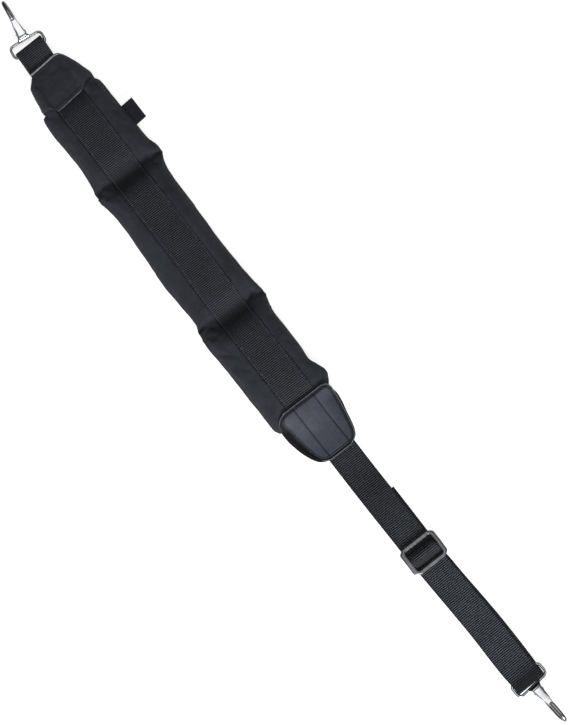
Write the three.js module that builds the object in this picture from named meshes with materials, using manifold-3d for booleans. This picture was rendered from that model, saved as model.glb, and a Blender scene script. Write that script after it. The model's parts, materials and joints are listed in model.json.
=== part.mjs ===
// Golf bag shoulder strap, lying on its back with its webbing side up. Millimetres.
// x runs along the strap, from the upper hook to the lower hook, y across it and z up.
// While the strap is built, x = 0 is the outer end of the padded section, and y = 0 is
// the middle of the webbing there. The finished group is centred over its footprint.
import * as THREE from 'three';
import { mergeVertices } from 'three/addons/utils/BufferGeometryUtils.js';
import Module from 'manifold-3d';

const wasm = await Module();
wasm.setup();

// Driving dimensions.
const seat = 0.3; // gap between pieces that lie on each other
const webbing = { width: 38, thickness: 1.5, foldRadius: 2.75, foldSteps: 8, step: 14 };
const padStrip = { width: 40, start: 39, end: 536 };
const pad = { step: 9, stripMargin: 1, stripShare: 0.93, leastFlat: 0.8 };
const cap = { wall: 1.6, length: 59, step: 9, overrun: 2 };
const capSlot = { width: 39, depth: 8, low: 1.7, high: 6.5 };
const piping = { diameter: 2.8, steps: 16, sides: 8 };
const patch = { thickness: 1.4, step: 6 };
const label = { start: 99.5, end: 126.5, thickness: 1.2 };
const slider = { x: 738.6, y: 1.9, length: 34.4, width: 47.4, endBar: 4.6, sideBar: 3 };
const sliderHeights = { bottom: 4, thickness: 3, ridge: 2.4, barBottom: 2.6, barTop: 5.4 };
const sliderBar = { width: 5, cornerRadius: 4.6, cornerSteps: 5, bevel: 0.28 };
const sliderCheek = { halfBase: 7, edge: 1, depth: 2.2 };
const ring = { length: 20, width: 46.4, wire: 3.3, cornerRadius: 5.5, cornerSteps: 6, sides: 12 };
const gate = { sheet: 0.9, opening: 4, bevel: 0.5, innerBevel: 0.1 };
const pin = { x: 17, z: 1, diameter: 2.2, length: 13.8, sides: 16 };
const pinHead = { diameter: 3.8, height: 0.7 };
const upperHookPlace = { x: -30.6, y: 1.1, z: 7.13, turn: 180 - 7.8, lean: -6 };
const lowerHookPlace = { x: 924.9, y: 7.4, z: 7.13, turn: 3.5, lean: -6 };

// Materials.
const fabric = { color: 0x2a2c30, roughness: 0.9, metalness: 0 };
const webbingCloth = { color: 0x17181c, roughness: 0.85, metalness: 0 };
const pipingCloth = { color: 0x77787e, roughness: 0.6, metalness: 0 };
const leather = { color: 0x474952, roughness: 0.5, metalness: 0 };
const plastic = { color: 0x1c1d20, roughness: 0.35, metalness: 0 };
const chrome = { color: 0xd0d2d6, roughness: 0.12, metalness: 1 };

// The padded section, one row for each place where its outline or height changes.
// right and left are its edges, puff is its highest level and base its underside.
const padRows = [
  { along: 14, right: -25.2, left: 29, puff: 5, base: 2 },
  { along: 22, right: -28.6, left: 31.8, puff: 7.5, base: 2 },
  { along: 36, right: -31.3, left: 36.5, puff: 11.2, base: 2 },
  { along: 50, right: -32.8, left: 39.6, puff: 16, base: 2 },
  { along: 60, right: -33.6, left: 40.2, puff: 18, base: 1.9 },
  { along: 64, right: -41, left: 44.6, puff: 20, base: 0.7 },
  { along: 72, right: -42.2, left: 44.9, puff: 22, base: 0 },
  { along: 87, right: -43.2, left: 44, puff: 23.4, base: 0 },
  { along: 124, right: -41, left: 44.8, puff: 24, base: 0 },
  { along: 152, right: -42.6, left: 46.5, puff: 22, base: 0 },
  { along: 164, right: -44, left: 49.5, puff: 19, base: 0.6 },
  { along: 171, right: -45.5, left: 49.8, puff: 14.5, base: 2 }, // upper cross seam
  { along: 178, right: -47.6, left: 47.5, puff: 19, base: 0.6 },
  { along: 190, right: -46, left: 44, puff: 22.4, base: 0 },
  { along: 219, right: -43.2, left: 41.7, puff: 24.2, base: 0 },
  { along: 263, right: -44.8, left: 39.9, puff: 24.8, base: 0 },
  { along: 313, right: -47.2, left: 38.7, puff: 24.6, base: 0 },
  { along: 350, right: -46.5, left: 39.3, puff: 22.6, base: 0 },
  { along: 370, right: -45.6, left: 41, puff: 19, base: 0.6 },
  { along: 379, right: -48.6, left: 42, puff: 14.5, base: 2 }, // lower cross seam
  { along: 388, right: -50.4, left: 40.6, puff: 19, base: 0.6 },
  { along: 400, right: -50.9, left: 37.8, puff: 22.4, base: 0 },
  { along: 415, right: -50.6, left: 36, puff: 24, base: 0 },
  { along: 463, right: -50, left: 36.6, puff: 24.2, base: 0 },
  { along: 479, right: -50.6, left: 35, puff: 23.4, base: 0 },
  { along: 491, right: -50.5, left: 39, puff: 22.4, base: 0 },
  { along: 503, right: -50.4, left: 42.4, puff: 20.6, base: 0 },
  { along: 512, right: -50.8, left: 38.7, puff: 18.4, base: 0.4 },
  { along: 519, right: -49.8, left: 34.4, puff: 15.6, base: 1.9 },
  { along: 527, right: -36, left: 31, puff: 12.8, base: 2.3 },
  { along: 545, right: -29, left: 25, puff: 7, base: 2.3 },
];

// The pad's cross section from the strip's side to the pad's edge and back underneath:
// out is the share of the way to the edge, and up the share of the height.
const padSide = [
  { out: 0, up: 0.93 },
  { out: 0.2, up: 1 },
  { out: 0.45, up: 0.97 },
  { out: 0.7, up: 0.85 },
  { out: 0.88, up: 0.66 },
  { out: 1, up: 0.4 },
  { out: 0.94, up: 0.17 },
  { out: 0.8, up: 0.04 },
  { out: 0.62, up: 0 },
];

// The middle line of the strip that is sewn along the pad.
const stripRows = [
  { along: 0, middle: 0 },
  { along: 60, middle: -0.6 },
  { along: 287, middle: -1 },
  { along: 370, middle: -2.8 },
  { along: 512, middle: -2.3 },
  { along: 545, middle: -2 },
];

// The outside of the end cap.
const capRows = [
  { along: 0, right: -19.6, left: 25.2, puff: 8.4, base: 0 },
  { along: 4, right: -21.2, left: 28.4, puff: 9.2, base: 0 },
  { along: 13, right: -27.6, left: 31.5, puff: 11.7, base: 0 },
  { along: 21, right: -31.1, left: 34.2, puff: 14, base: 0 },
  { along: 35, right: -33.5, left: 38.8, puff: 17.8, base: 0 },
  { along: 50, right: -35, left: 41.8, puff: 21, base: 0 },
  { along: 59, right: -35.8, left: 42.6, puff: 22.2, base: 0 },
];

// The middle line of the piping, across the cap's outer end and round one corner.
const pipingRows = [
  { x: -1.8, y: -19, z: 8.3 },
  { x: -1.8, y: 4, z: 8.5 },
  { x: -1.8, y: 21, z: 8.3 },
  { x: -0.8, y: 27, z: 7.8 },
  { x: 2.6, y: 31, z: 7.3 },
];

// The folded label, from the pad's side outwards. It leans a little towards the cap.
const labelRows = [
  { across: 45.3, height: 9.4, shift: 0 },
  { across: 53.2, height: 9.1, shift: -0.2 },
  { across: 61, height: 8.2, shift: -0.6 },
];

// The leather patch: crown is its top over the webbing, and rim its top at both edges.
const patchRows = [
  { along: 512, right: -27, left: 26, crown: 21, rim: 20.4 },
  { along: 514, right: -33.5, left: 31.5, crown: 20.8, rim: 19.6 },
  { along: 517, right: -38, left: 34, crown: 20.3, rim: 18.2 },
  { along: 522, right: -40.6, left: 35, crown: 18.9, rim: 15.4 },
  { along: 533, right: -38.9, left: 34.3, crown: 15.3, rim: 8.8 },
  { along: 556, right: -35.7, left: 30.8, crown: 7.6, rim: 4.8 },
  { along: 575, right: -30.3, left: 26.7, crown: 5.2, rim: 4.7 },
  { along: 582, right: -25.5, left: 22.6, crown: 5, rim: 5 },
  { along: 586, right: -20.5, left: 17.6, crown: 5, rim: 5 },
  { along: 588, right: -16, left: 12.6, crown: 5, rim: 5 },
];

// The backing panel under the patch.
const backingRows = [
  { along: 530, right: -41.6, left: 35.8, crown: 1.4, rim: 6 },
  { along: 540, right: -40.2, left: 34.9, crown: 1.4, rim: 4.6 },
  { along: 556, right: -37.5, left: 32.2, crown: 1.4, rim: 2.8 },
  { along: 574, right: -32.6, left: 28.2, crown: 1.4, rim: 1.8 },
  { along: 582, right: -28, left: 24.2, crown: 1.4, rim: 1.4 },
  { along: 586, right: -23, left: 19.6, crown: 1.4, rim: 1.4 },
  { along: 588.6, right: -17, left: 13.6, crown: 1.4, rim: 1.4 },
];
const panelShares = [-1, -0.93, -0.8, -0.55, 0, 0.55, 0.8, 0.93, 1];

// The upper webbing, from its end in the cap, under the ring's bar, round it and back.
const upperUnder = [
  { along: 36, height: 11.65, middle: 0, slope: 0 },
  { along: 22, height: 8.35, middle: 0, slope: 0 },
  { along: 14, height: 6, middle: 0, slope: 0 },
  { along: 6, height: 3.5, middle: 0, slope: 0 },
  { along: 0, height: 2.75, middle: 0, slope: 0 },
  { along: -10, height: 3.1, middle: 0.4, slope: 0.05 },
  { along: -20, height: 4.35, middle: 0.9, slope: 0.105 },
];
const upperOver = [
  { along: -20, height: 9.88, middle: 1, slope: 0.105 },
  { along: -10, height: 7.8, middle: 0.6, slope: 0.06 },
  { along: 0, height: 4.8, middle: 0, slope: 0 },
  { along: 6, height: 5.7, middle: 0, slope: 0 },
  { along: 14, height: 8.05, middle: 0, slope: 0 },
  { along: 22, height: 10.4, middle: 0, slope: 0 },
  { along: 36, height: 13.7, middle: 0, slope: 0 },
];
const upperFold = { along: -27.5, height: 7.13, slope: 0.105 };

// The lower webbing: out of the patch, under, over and under the slider's bars, round
// the ring's bar, and back below itself to its tail.
const lowerOver = [
  { along: 556, height: 2.6, middle: 0.2, slope: 0 },
  { along: 588, height: 2.6, middle: 0.2, slope: 0 },
  { along: 600, height: 1.3, middle: 0.2, slope: 0 },
  { along: 612, height: 0.85, middle: 0.2, slope: 0 },
  { along: 648, height: 0.85, middle: 0.2, slope: 0 },
  { along: 657, height: 2.95, middle: 0.2, slope: 0 },
  { along: 690, height: 2.95, middle: 0.6, slope: 0 },
  { along: 726, height: 2.95, middle: 1.2, slope: 0 },
  { along: 731, height: 5.6, middle: 1.4, slope: 0 },
  { along: 736, height: 8.55, middle: 1.6, slope: 0 },
  { along: 741.2, height: 8.55, middle: 1.8, slope: 0 },
  { along: 746.2, height: 5.6, middle: 2, slope: 0 },
  { along: 751.2, height: 2.95, middle: 2.1, slope: 0 },
  { along: 762, height: 2.95, middle: 2.4, slope: 0 },
  { along: 789, height: 3.4, middle: 3.4, slope: 0 },
  { along: 820, height: 4.6, middle: 4.5, slope: -0.03 },
  { along: 850, height: 6.3, middle: 5.2, slope: -0.06 },
  { along: 880, height: 8.2, middle: 5, slope: -0.09 },
  { along: 905, height: 9.6, middle: 5.2, slope: -0.105 },
  { along: 918, height: 9.88, middle: 6.4, slope: -0.105 },
];
const lowerUnder = [
  { along: 918, height: 4.38, middle: 7.8, slope: -0.105 },
  { along: 905, height: 4, middle: 8.3, slope: -0.1 },
  { along: 880, height: 3.1, middle: 8.5, slope: -0.075 },
  { along: 850, height: 2, middle: 8.2, slope: -0.04 },
  { along: 820, height: 1.2, middle: 7, slope: -0.01 },
  { along: 789, height: 0.85, middle: 5.3, slope: 0 },
  { along: 762, height: 0.85, middle: 4.2, slope: 0 },
  { along: 751.2, height: 0.85, middle: 3.3, slope: 0 },
  { along: 746.2, height: 3.5, middle: 3.1, slope: 0 },
  { along: 741.2, height: 6.45, middle: 2.9, slope: 0 },
  { along: 736, height: 6.45, middle: 2.9, slope: 0 },
  { along: 731, height: 3.5, middle: 2.9, slope: 0 },
  { along: 726, height: 0.85, middle: 2.9, slope: 0 },
  { along: 690, height: 0.85, middle: 3.1, slope: 0 },
  { along: 659, height: 0.85, middle: 3.1, slope: 0 },
];
const lowerFold = { along: 925.6, height: 7.13, slope: -0.105 };

// A hook lies along its own x axis, with the ring's middle at the origin and the gate up.
const shankRows = [
  { along: 7.4, half: 11.5, low: -1, high: 1 },
  { along: 9.2, half: 9, low: -1.55, high: 1.6 },
  { along: 10.4, half: 7.3, low: -1.9, high: 2 },
  { along: 11.5, half: 6.6, low: -2.9, high: 2.5 },
  { along: 11.9, half: 4.8, low: -3.3, high: 2.8 },
  { along: 15, half: 4.55, low: -5.6, high: 3.5 },
  { along: 20, half: 4.05, low: -6.7, high: 3 },
  { along: 24, half: 3.4, low: -6.9, high: 0.8 },
  { along: 28, half: 2.9, low: -6.7, high: -2.2 },
];
// The spine, bend and nose, along their middle line.
const crookRows = [
  { x: 20, z: -4.3, width: 6.6, depth: 5 },
  { x: 32, z: -4.4, width: 6.2, depth: 5 },
  { x: 44, z: -4.3, width: 5.8, depth: 4.8 },
  { x: 53, z: -3.2, width: 5.2, depth: 4.6 },
  { x: 58, z: -0.4, width: 4.6, depth: 4.4 },
  { x: 59.6, z: 2.3, width: 4.4, depth: 4.4 },
  { x: 59.6, z: 5.5, width: 4.4, depth: 4.4 },
  { x: 57.6, z: 8.6, width: 4.6, depth: 4.4 },
  { x: 53, z: 10.6, width: 5, depth: 4.3 },
  { x: 46, z: 11.1, width: 5.6, depth: 4.2 },
  { x: 39, z: 10.8, width: 6.3, depth: 4 },
  { x: 34.6, z: 10.4, width: 6.8, depth: 3.8 },
];
const noseEnd = { length: 1, share: 0.6 };
const hook = { crookSides: 12, shankBevel: 0.8, mostBevel: 0.3 };
// The gate's channel outside: half its width, its sheet's top and its flanges' lower edge.
const gateRows = [
  { along: 12.9, half: 6.1, low: -1.6, high: 5.2 },
  { along: 15, half: 5.9, low: -2.4, high: 5.5 },
  { along: 20, half: 5.4, low: -2.2, high: 6.1 },
  { along: 25, half: 4.8, low: 2.6, high: 6.8 },
  { along: 28, half: 4.4, low: 5, high: 7.2 },
  { along: 30, half: 3.6, low: 5.6, high: 7.4 },
  { along: 36.6, half: 3.1, low: 6.4, high: 7.95 },
];

// --- Reading tables ---

// A column's slope at a row: level at a peak or dip, so that the curve never overshoots.
function slopeAt(rows, name, i) {
  if (i === 0 || i === rows.length - 1) return 0;
  const before = (rows[i][name] - rows[i - 1][name]) / (rows[i].along - rows[i - 1].along);
  const after = (rows[i + 1][name] - rows[i][name]) / (rows[i + 1].along - rows[i].along);
  return before * after > 0 ? (2 * before * after) / (before + after) : 0;
}

// Reads a column between the rows, along a smooth curve. The rows may run either way.
function valueAt(rows, name, along) {
  const way = Math.sign(rows[rows.length - 1].along - rows[0].along);
  let i = rows.findIndex((row) => (row.along - along) * way > 0) - 1;
  if (i < 0) i = (along - rows[0].along) * way < 0 ? 0 : rows.length - 2;
  const span = rows[i + 1].along - rows[i].along;
  const t = THREE.MathUtils.clamp((along - rows[i].along) / span, 0, 1);
  const start = rows[i][name];
  const end = rows[i + 1][name];
  const startSlope = slopeAt(rows, name, i) * span;
  const endSlope = slopeAt(rows, name, i + 1) * span;
  const rise = 3 * (end - start) - 2 * startSlope - endSlope;
  const turn = 2 * (start - end) + startSlope + endSlope;
  return start + t * (startSlope + t * (rise + t * turn));
}

// Every row's place, with even steps between rows that lie further apart than a step.
function stations(rows, step) {
  const places = [];
  for (let i = 0; i < rows.length - 1; i += 1) {
    const span = rows[i + 1].along - rows[i].along;
    const count = Math.max(1, Math.round(Math.abs(span) / step));
    for (let k = 0; k < count; k += 1) places.push(rows[i].along + (span * k) / count);
  }
  places.push(rows[rows.length - 1].along);
  return places;
}

// --- Building solids ---

// Triangles that close a flat ring, facing the way the ring's turn points.
function capOf(ring, first) {
  const normal = new THREE.Vector3();
  ring.forEach((point, i) => normal.add(point.clone().cross(ring[(i + 1) % ring.length])));
  normal.normalize();
  const helper = Math.abs(normal.x) > 0.5 ? new THREE.Vector3(0, 1, 0) : new THREE.Vector3(1, 0, 0);
  const side = helper.cross(normal).normalize();
  const up = normal.clone().cross(side);
  const outline = ring.map((point) => new THREE.Vector2(point.dot(side), point.dot(up)));
  return THREE.ShapeUtils.triangulateShape(outline, []).map((face) => face.map((i) => i + first));
}

// A solid through rings of equal count. Each ring turns the way the next ring lies.
// A closed one joins its last ring to its first, and any other is capped.
function loft(rings, closed = false) {
  const count = rings[0].length;
  const faces = [];
  const joins = closed ? rings.length : rings.length - 1;
  for (let r = 0; r < joins; r += 1) {
    const here = r * count;
    const next = ((r + 1) % rings.length) * count;
    for (let i = 0; i < count; i += 1) {
      const j = (i + 1) % count;
      faces.push([here + i, here + j, next + j], [here + i, next + j, next + i]);
    }
  }
  if (!closed) {
    const last = (rings.length - 1) * count;
    faces.push(...capOf(rings[0], 0).map(([a, b, c]) => [a, c, b]));
    faces.push(...capOf(rings[rings.length - 1], last));
  }
  const geometry = new THREE.BufferGeometry().setFromPoints(rings.flat());
  geometry.setIndex(faces.flat());
  return geometry;
}

// A geometry as a manifold solid, for joining and cutting.
function solidOf(geometry) {
  const bare = geometry.clone();
  bare.deleteAttribute('normal');
  bare.deleteAttribute('uv');
  const merged = mergeVertices(bare, 1e-3);
  return new wasm.Manifold(
    new wasm.Mesh({
      numProp: 3,
      vertProperties: new Float32Array(merged.attributes.position.array),
      triVerts: new Uint32Array(merged.index.array),
    }),
  );
}

function geometryOf(solid) {
  const mesh = solid.getMesh();
  const geometry = new THREE.BufferGeometry();
  geometry.setAttribute('position', new THREE.BufferAttribute(mesh.vertProperties, 3));
  geometry.setIndex(new THREE.BufferAttribute(mesh.triVerts, 1));
  return geometry;
}

function piece(name, geometry, look) {
  const mesh = new THREE.Mesh(geometry, new THREE.MeshStandardMaterial(look));
  mesh.name = name;
  return mesh;
}

// --- Padded section ---

// One cross section of the pad, or of the cap round it, grown by a margin all round.
function paddedRing(rows, along, margin = 0) {
  const middle = valueAt(stripRows, 'middle', along);
  const halfStrip = padStrip.width / 2 + pad.stripMargin;
  const base = valueAt(rows, 'base', along) - margin;
  const height = valueAt(rows, 'puff', along) + margin - base;
  const sidePoints = (edge, way) =>
    padSide.map(({ out, up }) => {
      const flat = Math.min(halfStrip, Math.abs(edge - middle) * pad.leastFlat);
      const inner = middle + way * flat;
      return new THREE.Vector3(along, inner + out * (edge - inner), base + up * height);
    });
  const left = sidePoints(valueAt(rows, 'left', along) + margin, 1);
  const right = sidePoints(valueAt(rows, 'right', along) - margin, -1);
  return [...right, ...left.reverse()];
}

// The height of the pad's flat middle, which the strip lies on.
function stripSeat(along) {
  const base = valueAt(padRows, 'base', along);
  return base + pad.stripShare * (valueAt(padRows, 'puff', along) - base);
}

function shoulderPad() {
  return loft(stations(padRows, pad.step).map((along) => paddedRing(padRows, along)));
}

// A flat strip's section: its width across and its thickness along the section's normal.
function stripRing(point, normal, width, thickness, slope = 0) {
  const half = width / 2;
  const corner = (across, out) =>
    new THREE.Vector3(
      point.x + normal.x * out,
      point.y + across,
      point.z + normal.z * out + across * slope,
    );
  const rise = thickness / 2;
  return [corner(-half, -rise), corner(half, -rise), corner(half, rise), corner(-half, rise)];
}

function padWebbing() {
  const inStrip = (along) => along > padStrip.start && along < padStrip.end;
  const places = [padStrip.start, ...stations(padRows, pad.step).filter(inStrip), padStrip.end];
  const up = new THREE.Vector3(0, 0, 1);
  const rings = places.map((along) => {
    const height = stripSeat(along) + seat + webbing.thickness / 2;
    const point = new THREE.Vector3(along, valueAt(stripRows, 'middle', along), height);
    return stripRing(point, up, padStrip.width, webbing.thickness);
  });
  return loft(rings);
}

// A pocket: the cap's outside, less its inside and the slot that the webbing leaves by.
function endCap() {
  const places = stations(capRows, cap.step);
  const outside = loft(places.map((along) => paddedRing(capRows, along)));
  const insidePlaces = [cap.wall, ...places.filter((along) => along > cap.wall)];
  insidePlaces.push(cap.length + cap.overrun);
  const inside = loft(insidePlaces.map((along) => paddedRing(capRows, along, -cap.wall)));
  const { width, depth, low, high } = capSlot;
  const slot = new THREE.BoxGeometry(depth * 2, width, high - low);
  slot.translate(0, 0, (high + low) / 2);
  return geometryOf(solidOf(outside).subtract(solidOf(inside)).subtract(solidOf(slot)));
}

// A round cord sewn along the cap's outer end, turning in at the wide corner.
function endPiping() {
  const route = pipingRows.map(({ x, y, z }) => new THREE.Vector3(x, y, z));
  return new THREE.ExtrudeGeometry(
    new THREE.Shape().absarc(0, 0, piping.diameter / 2, 0, Math.PI * 2),
    {
      steps: piping.steps,
      curveSegments: piping.sides,
      extrudePath: new THREE.CatmullRomCurve3(route),
    },
  );
}

// --- Flat webbing ---

// A strap through rows in order: an upper run, a fold round a bar, and a lower run.
function foldedStrap(first, fold, second, way) {
  const path = [];
  const addRun = (rows) => {
    stations(rows, webbing.step).forEach((along) => {
      path.push({
        along,
        height: valueAt(rows, 'height', along),
        middle: valueAt(rows, 'middle', along),
        slope: valueAt(rows, 'slope', along),
      });
    });
  };
  addRun(first);
  const startMiddle = first[first.length - 1].middle;
  const endMiddle = second[0].middle;
  const rising = first[first.length - 1].height > second[0].height ? 1 : -1;
  for (let k = 0; k <= webbing.foldSteps; k += 1) {
    const angle = (Math.PI * k) / webbing.foldSteps;
    path.push({
      along: fold.along + way * webbing.foldRadius * Math.sin(angle),
      height: fold.height + rising * webbing.foldRadius * Math.cos(angle),
      middle: THREE.MathUtils.lerp(startMiddle, endMiddle, k / webbing.foldSteps),
      slope: fold.slope,
    });
  }
  addRun(second);
  const points = path.map((p) => new THREE.Vector3(p.along, p.middle, p.height));
  const rings = points.map((point, i) => {
    const ahead = points[Math.min(i + 1, points.length - 1)].clone();
    const along = ahead.sub(points[Math.max(i - 1, 0)]).setY(0).normalize();
    const normal = new THREE.Vector3(-along.z, 0, along.x);
    return stripRing(point, normal, webbing.width, webbing.thickness, path[i].slope);
  });
  return loft(rings);
}

// --- Leather patch and its backing ---

// A sheet of even thickness whose top goes from its crown to its rim on both sides.
// A greater flatness keeps the middle level for longer.
function panel(rows, flatness) {
  const rings = stations(rows, patch.step).map((along) => {
    const right = valueAt(rows, 'right', along);
    const left = valueAt(rows, 'left', along);
    const crown = valueAt(rows, 'crown', along);
    const rim = valueAt(rows, 'rim', along);
    const top = panelShares.map((share) => {
      const across = right + ((share + 1) / 2) * (left - right);
      const fall = Math.abs(share) ** flatness;
      return new THREE.Vector3(along, across, crown + (rim - crown) * fall);
    });
    const drop = new THREE.Vector3(0, 0, -patch.thickness);
    const bottom = top.map((point) => point.clone().add(drop));
    return [...bottom, ...top.reverse()];
  });
  return loft(rings);
}

function sideLabel() {
  const rings = labelRows.map(({ across, height, shift }) => {
    const low = height - label.thickness / 2;
    const high = height + label.thickness / 2;
    return [
      new THREE.Vector3(label.end + shift, across, low),
      new THREE.Vector3(label.start + shift, across, low),
      new THREE.Vector3(label.start + shift, across, high),
      new THREE.Vector3(label.end + shift, across, high),
    ];
  });
  return loft(rings);
}

// --- Slider ---

// A rectangle's outline with round corners, as points with the way out at each.
function roundedPath(halfX, halfY, radius, cornerSteps) {
  const path = [];
  for (let quarter = 0; quarter < 4; quarter += 1) {
    const signX = quarter === 0 || quarter === 3 ? 1 : -1;
    const signY = quarter < 2 ? 1 : -1;
    for (let k = 0; k <= cornerSteps; k += 1) {
      const angle = (Math.PI / 2) * (quarter + k / cornerSteps);
      const out = new THREE.Vector2(Math.cos(angle), Math.sin(angle));
      const x = signX * (halfX - radius) + radius * out.x;
      const y = signY * (halfY - radius) + radius * out.y;
      path.push({ x, y, out });
    }
  }
  return path;
}

function sliderFrame() {
  const halfX = (slider.length - slider.endBar) / 2;
  const halfY = (slider.width - slider.sideBar) / 2;
  const { cornerRadius, cornerSteps, bevel } = sliderBar;
  const path = roundedPath(halfX, halfY, cornerRadius, cornerSteps);
  // A point halfway along each side bar, where the frame has its ridge.
  const ridgePoint = (way) => ({ x: 0, y: way * halfY, out: new THREE.Vector2(0, way) });
  const perCorner = cornerSteps + 1;
  path.splice(3 * perCorner, 0, ridgePoint(-1));
  path.splice(perCorner, 0, ridgePoint(1));
  const outline = [
    [-0.5, -0.5 + bevel],
    [-0.5 + bevel, -0.5],
    [0.5 - bevel, -0.5],
    [0.5, -0.5 + bevel],
    [0.5, 0.5 - bevel],
    [0.5 - bevel, 0.5],
    [-0.5 + bevel, 0.5],
    [-0.5, 0.5 - bevel],
  ];
  const rings = path.map(({ x, y, out }) => {
    const width = THREE.MathUtils.lerp(slider.sideBar, slider.endBar, Math.abs(out.x));
    const lift = sliderHeights.ridge * (1 - Math.abs(x) / halfX);
    const middle = sliderHeights.bottom + sliderHeights.thickness / 2 + lift;
    return outline.map(
      ([inward, up]) =>
        new THREE.Vector3(
          x - out.x * inward * width,
          y - out.y * inward * width,
          middle + up * sliderHeights.thickness,
        ),
    );
  });
  const { barBottom, barTop, bottom, thickness, ridge } = sliderHeights;
  const cheekTop = bottom + ridge + thickness / 2;
  const { halfBase, edge, depth } = sliderCheek;
  const cheekShape = new THREE.Shape()
    .moveTo(-sliderBar.width / 2, barBottom)
    .lineTo(sliderBar.width / 2, barBottom)
    .lineTo(halfBase, cheekTop - edge)
    .lineTo(0, cheekTop)
    .lineTo(-halfBase, cheekTop - edge);
  let solid = solidOf(loft(rings, true));
  for (const way of [1, -1]) {
    const cheek = new THREE.ExtrudeGeometry(cheekShape, { depth, bevelEnabled: false });
    cheek.translate(0, 0, -depth / 2);
    cheek.rotateX(Math.PI / 2);
    cheek.translate(0, way * halfY, 0);
    solid = solid.add(solidOf(cheek));
  }
  const bar = new THREE.BoxGeometry(sliderBar.width, halfY * 2, barTop - barBottom);
  bar.translate(0, 0, (barTop + barBottom) / 2);
  return geometryOf(solid.add(solidOf(bar)));
}

// --- Snap hooks ---

function ringWire() {
  const radius = ring.wire / 2;
  const halfX = ring.length / 2 - radius;
  const halfY = ring.width / 2 - radius;
  const path = roundedPath(halfX, halfY, ring.cornerRadius, ring.cornerSteps);
  const rings = path.map(({ x, y, out }) =>
    Array.from({ length: ring.sides }, (_, i) => {
      const angle = (Math.PI * 2 * (i + 0.5)) / ring.sides;
      const inward = radius * Math.cos(angle);
      return new THREE.Vector3(x - out.x * inward, y - out.y * inward, radius * Math.sin(angle));
    }),
  );
  return loft(rings, true);
}

// A bar with bevelled edges that runs along x, from a table of its width and heights.
function bevelledBar(rows, bevel) {
  const rings = rows.map(({ along, half, low, high }) => {
    const cut = Math.min(bevel, (high - low) * hook.mostBevel);
    const outline = [
      [-half + cut, low],
      [half - cut, low],
      [half, low + cut],
      [half, high - cut],
      [half - cut, high],
      [-half + cut, high],
      [-half, high - cut],
      [-half, low + cut],
    ];
    return outline.map(([across, up]) => new THREE.Vector3(along, across, up));
  });
  return loft(rings);
}

function crook() {
  const last = crookRows[crookRows.length - 1];
  const rows = [
    ...crookRows,
    {
      x: last.x - noseEnd.length,
      z: last.z,
      width: last.width * noseEnd.share,
      depth: last.depth * noseEnd.share,
    },
  ];
  const rings = rows.map(({ x, z, width, depth }, i) => {
    const before = rows[Math.max(i - 1, 0)];
    const after = rows[Math.min(i + 1, rows.length - 1)];
    const along = new THREE.Vector2(after.x - before.x, after.z - before.z).normalize();
    return Array.from({ length: hook.crookSides }, (_, k) => {
      const angle = (Math.PI * 2 * (k + 0.5)) / hook.crookSides;
      const across = (width / 2) * Math.cos(angle);
      const out = (depth / 2) * Math.sin(angle);
      return new THREE.Vector3(x - along.y * out, across, z + along.x * out);
    });
  });
  return loft(rings);
}

function pinCylinder(diameter, length) {
  const cylinder = new THREE.CylinderGeometry(diameter / 2, diameter / 2, length, pin.sides);
  return cylinder.translate(pin.x, 0, pin.z);
}

function pinHole() {
  return solidOf(pinCylinder(pin.diameter + 2 * seat, ring.width));
}

function hookBody() {
  const shank = solidOf(bevelledBar(shankRows, hook.shankBevel));
  return geometryOf(solidOf(ringWire()).add(shank).add(solidOf(crook())).subtract(pinHole()));
}

// The gate is a channel of bent sheet: its outside, less the space between its flanges.
function gateChannel() {
  const outside = solidOf(bevelledBar(gateRows, gate.bevel));
  const insideRows = gateRows.map(({ along, half, low, high }) => ({
    along,
    half: half - gate.sheet,
    low: low - gate.opening,
    high: high - gate.sheet,
  }));
  insideRows[0].along -= gate.sheet;
  insideRows[insideRows.length - 1].along += gate.sheet;
  const inside = solidOf(bevelledBar(insideRows, gate.innerBevel));
  return geometryOf(outside.subtract(inside).subtract(pinHole()));
}

function gatePin() {
  let solid = solidOf(pinCylinder(pin.diameter, pin.length));
  for (const way of [1, -1]) {
    const head = pinCylinder(pinHead.diameter, pinHead.height);
    head.translate(0, (way * (pin.length - pinHead.height)) / 2, 0);
    solid = solid.add(solidOf(head));
  }
  return geometryOf(solid);
}

// A hook with its gate and pin, turned and leaned as it lies at its end of the strap.
function snapHook(name, place) {
  const assembly = new THREE.Group();
  assembly.add(
    piece(`${name}_hook`, hookBody(), chrome),
    piece(`${name}_gate`, gateChannel(), chrome),
    piece(`${name}_gate_pin`, gatePin(), chrome),
  );
  const lean = THREE.MathUtils.degToRad(place.lean);
  const turn = THREE.MathUtils.degToRad(place.turn);
  assembly.position.set(place.x, place.y, place.z);
  assembly.rotation.set(lean, 0, turn, 'ZXY');
  return assembly;
}

// --- The whole strap ---

const strap = new THREE.Group();
strap.add(
  piece('shoulder_pad', shoulderPad(), fabric),
  piece('pad_webbing', padWebbing(), webbingCloth),
  piece('pad_end_cap', endCap(), fabric),
  piece('end_piping', endPiping(), pipingCloth),
  piece('upper_webbing_loop', foldedStrap(upperUnder, upperFold, upperOver, -1), webbingCloth),
  piece('end_patch', panel(patchRows, 3), leather),
  piece('patch_backing', panel(backingRows, 8), fabric),
  piece('adjuster_webbing', foldedStrap(lowerOver, lowerFold, lowerUnder, 1), webbingCloth),
  piece('side_label', sideLabel(), webbingCloth),
  snapHook('upper', upperHookPlace),
  snapHook('lower', lowerHookPlace),
);
const buckle = piece('slider', sliderFrame(), plastic);
buckle.position.set(slider.x, slider.y, 0);
strap.add(buckle);

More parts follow.
